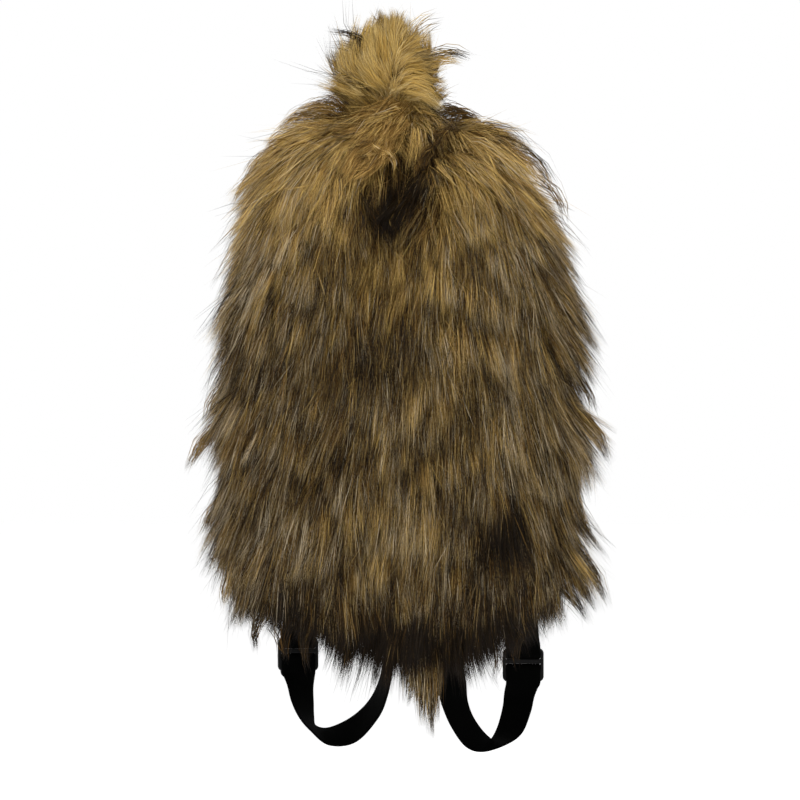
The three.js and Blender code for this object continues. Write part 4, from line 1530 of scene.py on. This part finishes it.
def whorl_lock(chance):
    """A short pale lock that points any way from the whorl."""
    way = swung(np.array([1.0, 0.0]), chance.uniform(0, 2 * math.pi), chance.uniform(9, 16))
    start = np.array(WHORL) + chance.normal(0, 4, 2)
    hairs = lock_strands(chance, start, way, chance.uniform(-2, 2), 20, 2.4)
    return hairs, 0.24 + chance.normal(0, 0.08), (0.50, 0.10), 7.0, 5.4


def crease_shadow_lock(chance, at):
    """A short dark lock at a share of the crease, that follows it: painted shadow of the fold."""
    first, last = np.array(SHADOWED_CREASE)
    start = first * (1 - at) + last * at + chance.normal(0, 2.0, 2)
    way = swung(last - first, chance.normal(0, 0.45), chance.uniform(11, 17))
    hairs = lock_strands(chance, start, way, chance.uniform(-2, 2), 22, 2.4)
    return hairs, 0.86, (0.2, 0.1), 4.0 + 4.0 * (at < 0.4), 6.4


# %% Lay the locks on the fur
def facing_front(points):
    """For each strand the direction of the front."""
    return np.tile([0.0, -1.0, 0.0], (len(points), 1))


def spilled_locks(chance):
    """Every lock in turn, those furthest down first, as a roof is laid."""
    order = np.sort(chance.uniform(0, 0.80, SPILLED))[::-1]
    for number, at in enumerate(order):
        yield spill_lock(chance, number, at)
    for _ in range(WHORL_LOCKS):
        yield whorl_lock(chance)
    # dark locks laid in the crease as its painted shadow
    for at in np.linspace(0.02, 0.85, CREASE_SHADOW_LOCKS):
        yield crease_shadow_lock(chance, at)


def grow_spilled(name, seed):
    """The strands of all the locks, each arched over the fur and sunk in it at its root."""
    chance = np.random.default_rng(seed)
    arched = np.sin(knots(FINE_STEPS) * math.pi * 0.8) ** 0.8
    lines, tones, dyes, offs = [], [], [], []
    for line, tone, dye_shares, arch, sunk in spilled_locks(chance):
        count = len(line)
        lines.append(line * MM)
        tones.append(tone + chance.normal(0, STRAY_TONE, count))
        dyes.append(chosen_dyes(chance, count, *dye_shares))
        offs.append((arch * arched - sunk + chance.uniform(-1.2, 1.2, (count, 1))) * MM)
    x, z = np.moveaxis(np.concatenate(lines), 2, 0)
    table = front_depths(["fur_front_panel", "fur_puff"], TABLE_X, TABLE_Z)
    points = np.stack([x, looked_up(table, x, z) - np.concatenate(offs), z], 2)
    count = len(points)
    return ribbon_mesh(name, points, facing_front(points),
                       BAG_LOOK["width"] * chance.uniform(*WIDTHS, count), np.concatenate(tones),
                       np.concatenate(dyes), chance.uniform(-ROLL, ROLL, count))


finish_piece(grow_spilled("spilled_hair", seed=520), "fur", fur_material)

# %% [markdown]
# ## Wisps
#
# What makes the outline of fur look real is the few locks that part from it.
# More length or more lift all over would only make the bag bigger. So each
# wisp is placed one by one, from a root in the pile to a tip in the air, and its
# strands are a few arcs that start apart and nearly meet.

# %% The wisps of the bag and of the puff
WISPS = [          # root x, z; tip x, z; y of the middle; strands; tone
    (-40, -38, -62, -26, -66, 26, 0.80), (-46, -36, -70, -33, -60, 20, 0.70),
    (-78, -54, -103, -68, -62, 26, 0.42), (-90, -68, -118, -92, -62, 36, 0.38),
    (-98, -82, -127, -111, -62, 28, 0.42), (-68, -45, -95, -55, -62, 40, 0.38),
    (66, -52, 102, -75, -60, 14, 0.92), (76, -60, 119, -95, -62, 18, 0.92),
    (88, -70, 116, -98, -56, 26, 0.50), (104, -90, 126, -124, -56, 24, 0.66),
    (-118, -268, -163, -310, -56, 90, 0.54), (-122, -238, -149, -275, -52, 36, 0.60),
    (-44, -41, -75, -43, -62, 50, 0.50), (34, -42, 60, -47, -62, 40, 0.84),
    (-50, -37, -77, -38, -64, 46, 0.45), (-62, -39, -88, -46, -60, 40, 0.40),
    (30, -37, 46, -38, -62, 40, 0.80), (38, -41, 64, -48, -60, 46, 0.70),
    (-101, -412, -109, -446, -60, 50, 0.90), (-84, -424, -86, -452, -60, 20, 0.90),
    (-118, -322, -151, -358, -58, 80, 0.52), (-116, -356, -146, -384, -52, 34, 0.60),
    (120, -258, 159, -304, -58, 84, 0.62), (122, -230, 147, -268, -50, 34, 0.66),
    (116, -330, 145, -360, -56, 36, 0.70), (116, -364, 157, -408, -56, 96, 0.80),
    (108, -376, 149, -415, -60, 76, 0.86), (94, -400, 110, -432, -60, 36, 0.88),
    (104, -386, 144, -423, -58, 70, 0.88),
    (-104, -396, -107, -435, -60, 24, 0.80), (-120, -378, -133, -413, -56, 40, 0.60),
    (-44, -424, -42, -466, -70, 36, 0.88), (-14, -430, -12, -474, -70, 40, 0.86),
    (66, -424, 70, -470, -50, 26, 0.86), (-66, -420, -68, -462, -66, 24, 0.90),
    (-92, -424, -88, -452, -40, 20, 0.92), (92, -428, 88, -458, -40, 20, 0.92),
]
PUFF_WISPS = [
    (6, 16, 29, 38, -56, 10, 0.62), (12, 10, 33, 29, -54, 9, 0.66), (20, 2, 56, 2, -58, 34, 0.80),
    (18, -4, 48, -2, -60, 30, 0.50), (-22, 6, -56, 22, -60, 13, 0.97), (-24, 2, -58, 12, -60, 12, 0.97),
    (-26, -4, -59, 4, -58, 12, 0.97), (-21, 9, -54, 24, -56, 12, 0.95), (-26, -16, -54, -18, -60, 40, 0.45),
    (-14, 16, -22, 34, -56, 24, 0.50), (0, 20, 4, 38, -54, 22, 0.52), (14, -25, 37, -32, -60, 26, 0.60),
]

# %% Grow the wisps
WISP_WIDTH = 0.50 * MM
WISP_WIDTHS = 0.6, 1.2      # the thinnest and the thickest hair, to 1 of that
ROOTS_APART = 3.2 * MM      # spread of a wisp's roots
TIPS_APART = 1.8 * MM       # and of its tips
WISP_REACH = 0.78, 1.0      # the shortest and the longest strand, to 1 of the way to the tip
BOW = 0.16                  # how far a strand bows outwards, to 1 of its length
BOWED = 0.4, 1.3            # the least and the most bowed strand, to 1 of that
WISP_STRAY_TONE = 0.13      # spread of the tones within a wisp
WISP_RICH, WISP_ASH = 0.25, 0.3


def grow_wisps(name, wisps, seed):
    """Each lock is a few strands that start apart, bow outwards and nearly meet at their tips."""
    chance = np.random.default_rng(seed)
    share = knots(FINE_STEPS)[None, :, None]
    lines, tones = [], []
    for root_x, root_z, tip_x, tip_z, y, count, tone in wisps:
        root = np.array([root_x, y, root_z]) * MM + chance.normal(0, 1, (count, 3)) * ROOTS_APART
        tip = np.array([tip_x, y, tip_z]) * MM + chance.normal(0, 1, (count, 3)) * TIPS_APART
        tip = root + (tip - root) * chance.uniform(*WISP_REACH, (count, 1))
        way = tip - root
        bow = np.stack([-way[:, 2], np.zeros(count), way[:, 0]], 1)
        bow *= BOW * (1 if tip_x > root_x else -1) * chance.uniform(*BOWED, (count, 1))
        lines.append(root[:, None] + way[:, None] * share + bow[:, None] * np.sin(share * math.pi))
        tones.append(tone + chance.normal(0, WISP_STRAY_TONE, count))
    points, tones = within_reach(np.concatenate(lines)), np.concatenate(tones)
    count = len(points)
    return ribbon_mesh(name, points, facing_front(points),
                       WISP_WIDTH * chance.uniform(*WISP_WIDTHS, count), tones,
                       chosen_dyes(chance, count, WISP_RICH, WISP_ASH), chance.uniform(-ROLL, ROLL, count))


finish_piece(grow_wisps("bag_wisps", WISPS, seed=500), "fur", fur_material)
finish_piece(grow_wisps("puff_wisps", PUFF_WISPS, seed=510), "puff_fur", puff_material)

# %% [markdown]
# ## The tuft
#
# The tuft is a single long lock that hangs from the seam under the bag. It has
# no cloth of its own to grow from. Its roots fill an ellipse under the bag, and
# each strand runs to one of a few points, so that it ends ragged and not round.

# %% Grow the tuft
TUFT_TIPS = [                # x, y, z of each point, and the share of the hair that draws to it
    ((24, -64, -511), 0.28), ((16, -69, -502), 0.20), ((29, -58, -499), 0.18), ((5, -66, -487), 0.20),
    ((14, -54, -484), 0.14),
]
TUFT_FILLED = 0.72           # the part of its CAD form that the roots fill
TUFT_ROOTS = 30 * MM         # how far up in the bag's fur they start
TUFT_SHIFT = 2 * MM          # they start this much nearer the left
TUFT_TIPS_APART = 1.6 * MM   # spread of the tips round each point
TUFT_REACH = 0.50, 1.0       # the shortest and the longest strand, to 1 of the way to its point
TUFT_BOW = 0.10              # how much sooner it draws in than a straight line, to 1 of its way sideways
TUFT_WIDTH = 0.5 * MM
TUFT_WIDTHS = 0.7, 1.3       # the thinnest and the thickest hair, to 1 of that
TUFT_TONE = 0.30             # of its shortest hair
LONGER_DARKER = 0.46         # how much darker the longest is
TUFT_STRAY_TONE = 0.27
TUFT_RICH, TUFT_ASH = 0.05, 0.55


def grow_tuft(name, count, seed):
    """One hanging lock: strands from under the bag that draw in to a few points."""
    chance = np.random.default_rng(seed)
    low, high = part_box("tail_tuft")
    round_it = chance.uniform(0, 2 * math.pi, count)
    out = np.sqrt(chance.random(count))
    half = np.array([(high.x - low.x) / 2, (high.y - low.y) / 2]) * TUFT_FILLED
    roots = np.stack([(low.x + high.x) / 2 - TUFT_SHIFT + half[0] * out * np.cos(round_it),
                      (low.y + high.y) / 2 + half[1] * out * np.sin(round_it),
                      np.full(count, high.z + TUFT_ROOTS)], 1)
    places, shares = zip(*TUFT_TIPS)
    tip = np.array(places)[chance.choice(len(places), count, p=shares)] * MM
    reach = chance.uniform(*TUFT_REACH, count)[:, None]
    apart = chance.normal(0, 1, (count, 3)) * [TUFT_TIPS_APART, TUFT_TIPS_APART, 0]
    tip = roots + (tip - roots) * reach + apart
    share = knots(FINE_STEPS)[None, :, None]
    points = roots[:, None] + (tip - roots)[:, None] * share
    points[..., :2] -= (roots - tip)[:, None, :2] * np.sin(share * math.pi) * TUFT_BOW
    facing = unit(np.stack([np.cos(round_it), np.sin(round_it) - 0.5, np.zeros(count)], 1))
    tone = TUFT_TONE + LONGER_DARKER * reach[:, 0] ** 2 + chance.normal(0, TUFT_STRAY_TONE, count)
    return ribbon_mesh(name, points, facing, TUFT_WIDTH * chance.uniform(*TUFT_WIDTHS, count), tone,
                       chosen_dyes(chance, count, TUFT_RICH, TUFT_ASH), chance.uniform(-ROLL, ROLL, count))


tuft = grow_tuft("tail_tuft_hair", count=1700, seed=400)
finish_piece(tuft, "fur", fur_material, "tail_tuft")

# %% [markdown]
# ## Light and floor
#
# Dark fur on white needs soft light from all round. Two big lamps in front and
# one above show the locks, and two behind let the outline glow. An HDR picture
# would do the same, but area lamps need no file and can be moved one by one.
# The camera sees a plain white, while the fur is lit by less of it.

# %% Lamps
LAMPS = [          # name, place, size in metres, power in watts
    ("key_lamp", (-1.3, -2.2, 1.1), 1.4, 34),
    ("fill_lamp", (1.6, -2.0, 0.1), 1.4, 18),
    ("top_lamp", (0.0, -0.3, 1.6), 1.2, 24),
    ("back_lamp_left", (-1.4, 1.9, 0.6), 1.4, 26),
    ("back_lamp_right", (1.4, 1.9, 0.9), 1.4, 20),
]

for name, place, size, power in LAMPS:
    data = bpy.data.lights.new(name, "AREA")
    data.size = size
    data.energy = power
    light = bpy.data.objects.new(name, data)
    light.location = place
    aim = Vector((0, SEAM_Y, VIEW_HEIGHT)) - light.location
    light.rotation_euler = aim.to_track_quat("-Z", "Y").to_euler()
    bpy.context.scene.collection.objects.link(light)
print("lamps:", len(LAMPS))

# %% A white surround
LIT_BY = 0.45               # the strength of the surround as the fur sees it
WHITE = (1, 1, 1, 1)

world = bpy.data.worlds.new("studio")
bpy.context.scene.world = world
world.use_nodes = True
sky = world.node_tree
surround = sky.nodes["Background"]
surround.inputs["Color"].default_value = WHITE
surround.inputs["Strength"].default_value = LIT_BY
backdrop = sky.nodes.new("ShaderNodeBackground")
backdrop.inputs["Color"].default_value = WHITE
ray = sky.nodes.new("ShaderNodeLightPath")
choice = sky.nodes.new("ShaderNodeMixShader")
sky.links.new(ray.outputs["Is Camera Ray"], choice.inputs[0])
sky.links.new(surround.outputs[0], choice.inputs[1])
sky.links.new(backdrop.outputs[0], choice.inputs[2])
sky.links.new(choice.outputs[0], sky.nodes["World Output"].inputs["Surface"])

# %% A pale floor under the hanging bag
FLOOR_SIZE = 60
FLOOR_DROP = 0.06           # below the lowest webbing

deselect()
bpy.ops.mesh.primitive_plane_add(size=FLOOR_SIZE, location=(0, 0, cad_box[0][2] - FLOOR_DROP))
floor = bpy.context.object
floor.name = "floor"
paper = Finish("white_paper", Base_Color=(0.85, 0.85, 0.85, 1), Roughness=0.9,
               Emission_Color=WHITE, Emission_Strength=0.62)
floor.data.materials.append(paper.material)
print("floor at", round(floor.location.z, 3))

# %% [markdown]
# ## Sizes, and the end
#
# Hair may stand a little proud of the CAD form, but the bag mustn't grow. So
# the box of the CAD is written down, and the triangles are counted.

# %% Count, measure and finish
stays_out = [floor.name, *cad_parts]
added = [piece for piece in bpy.data.objects if piece.type == "MESH" and piece.name not in stays_out]
total = sum(len(face.vertices) - 2 for piece in added for face in piece.data.polygons)
print("pieces:", len(added), "triangles:", total)
print("CAD box:", np.round(cad_box, 3).tolist())
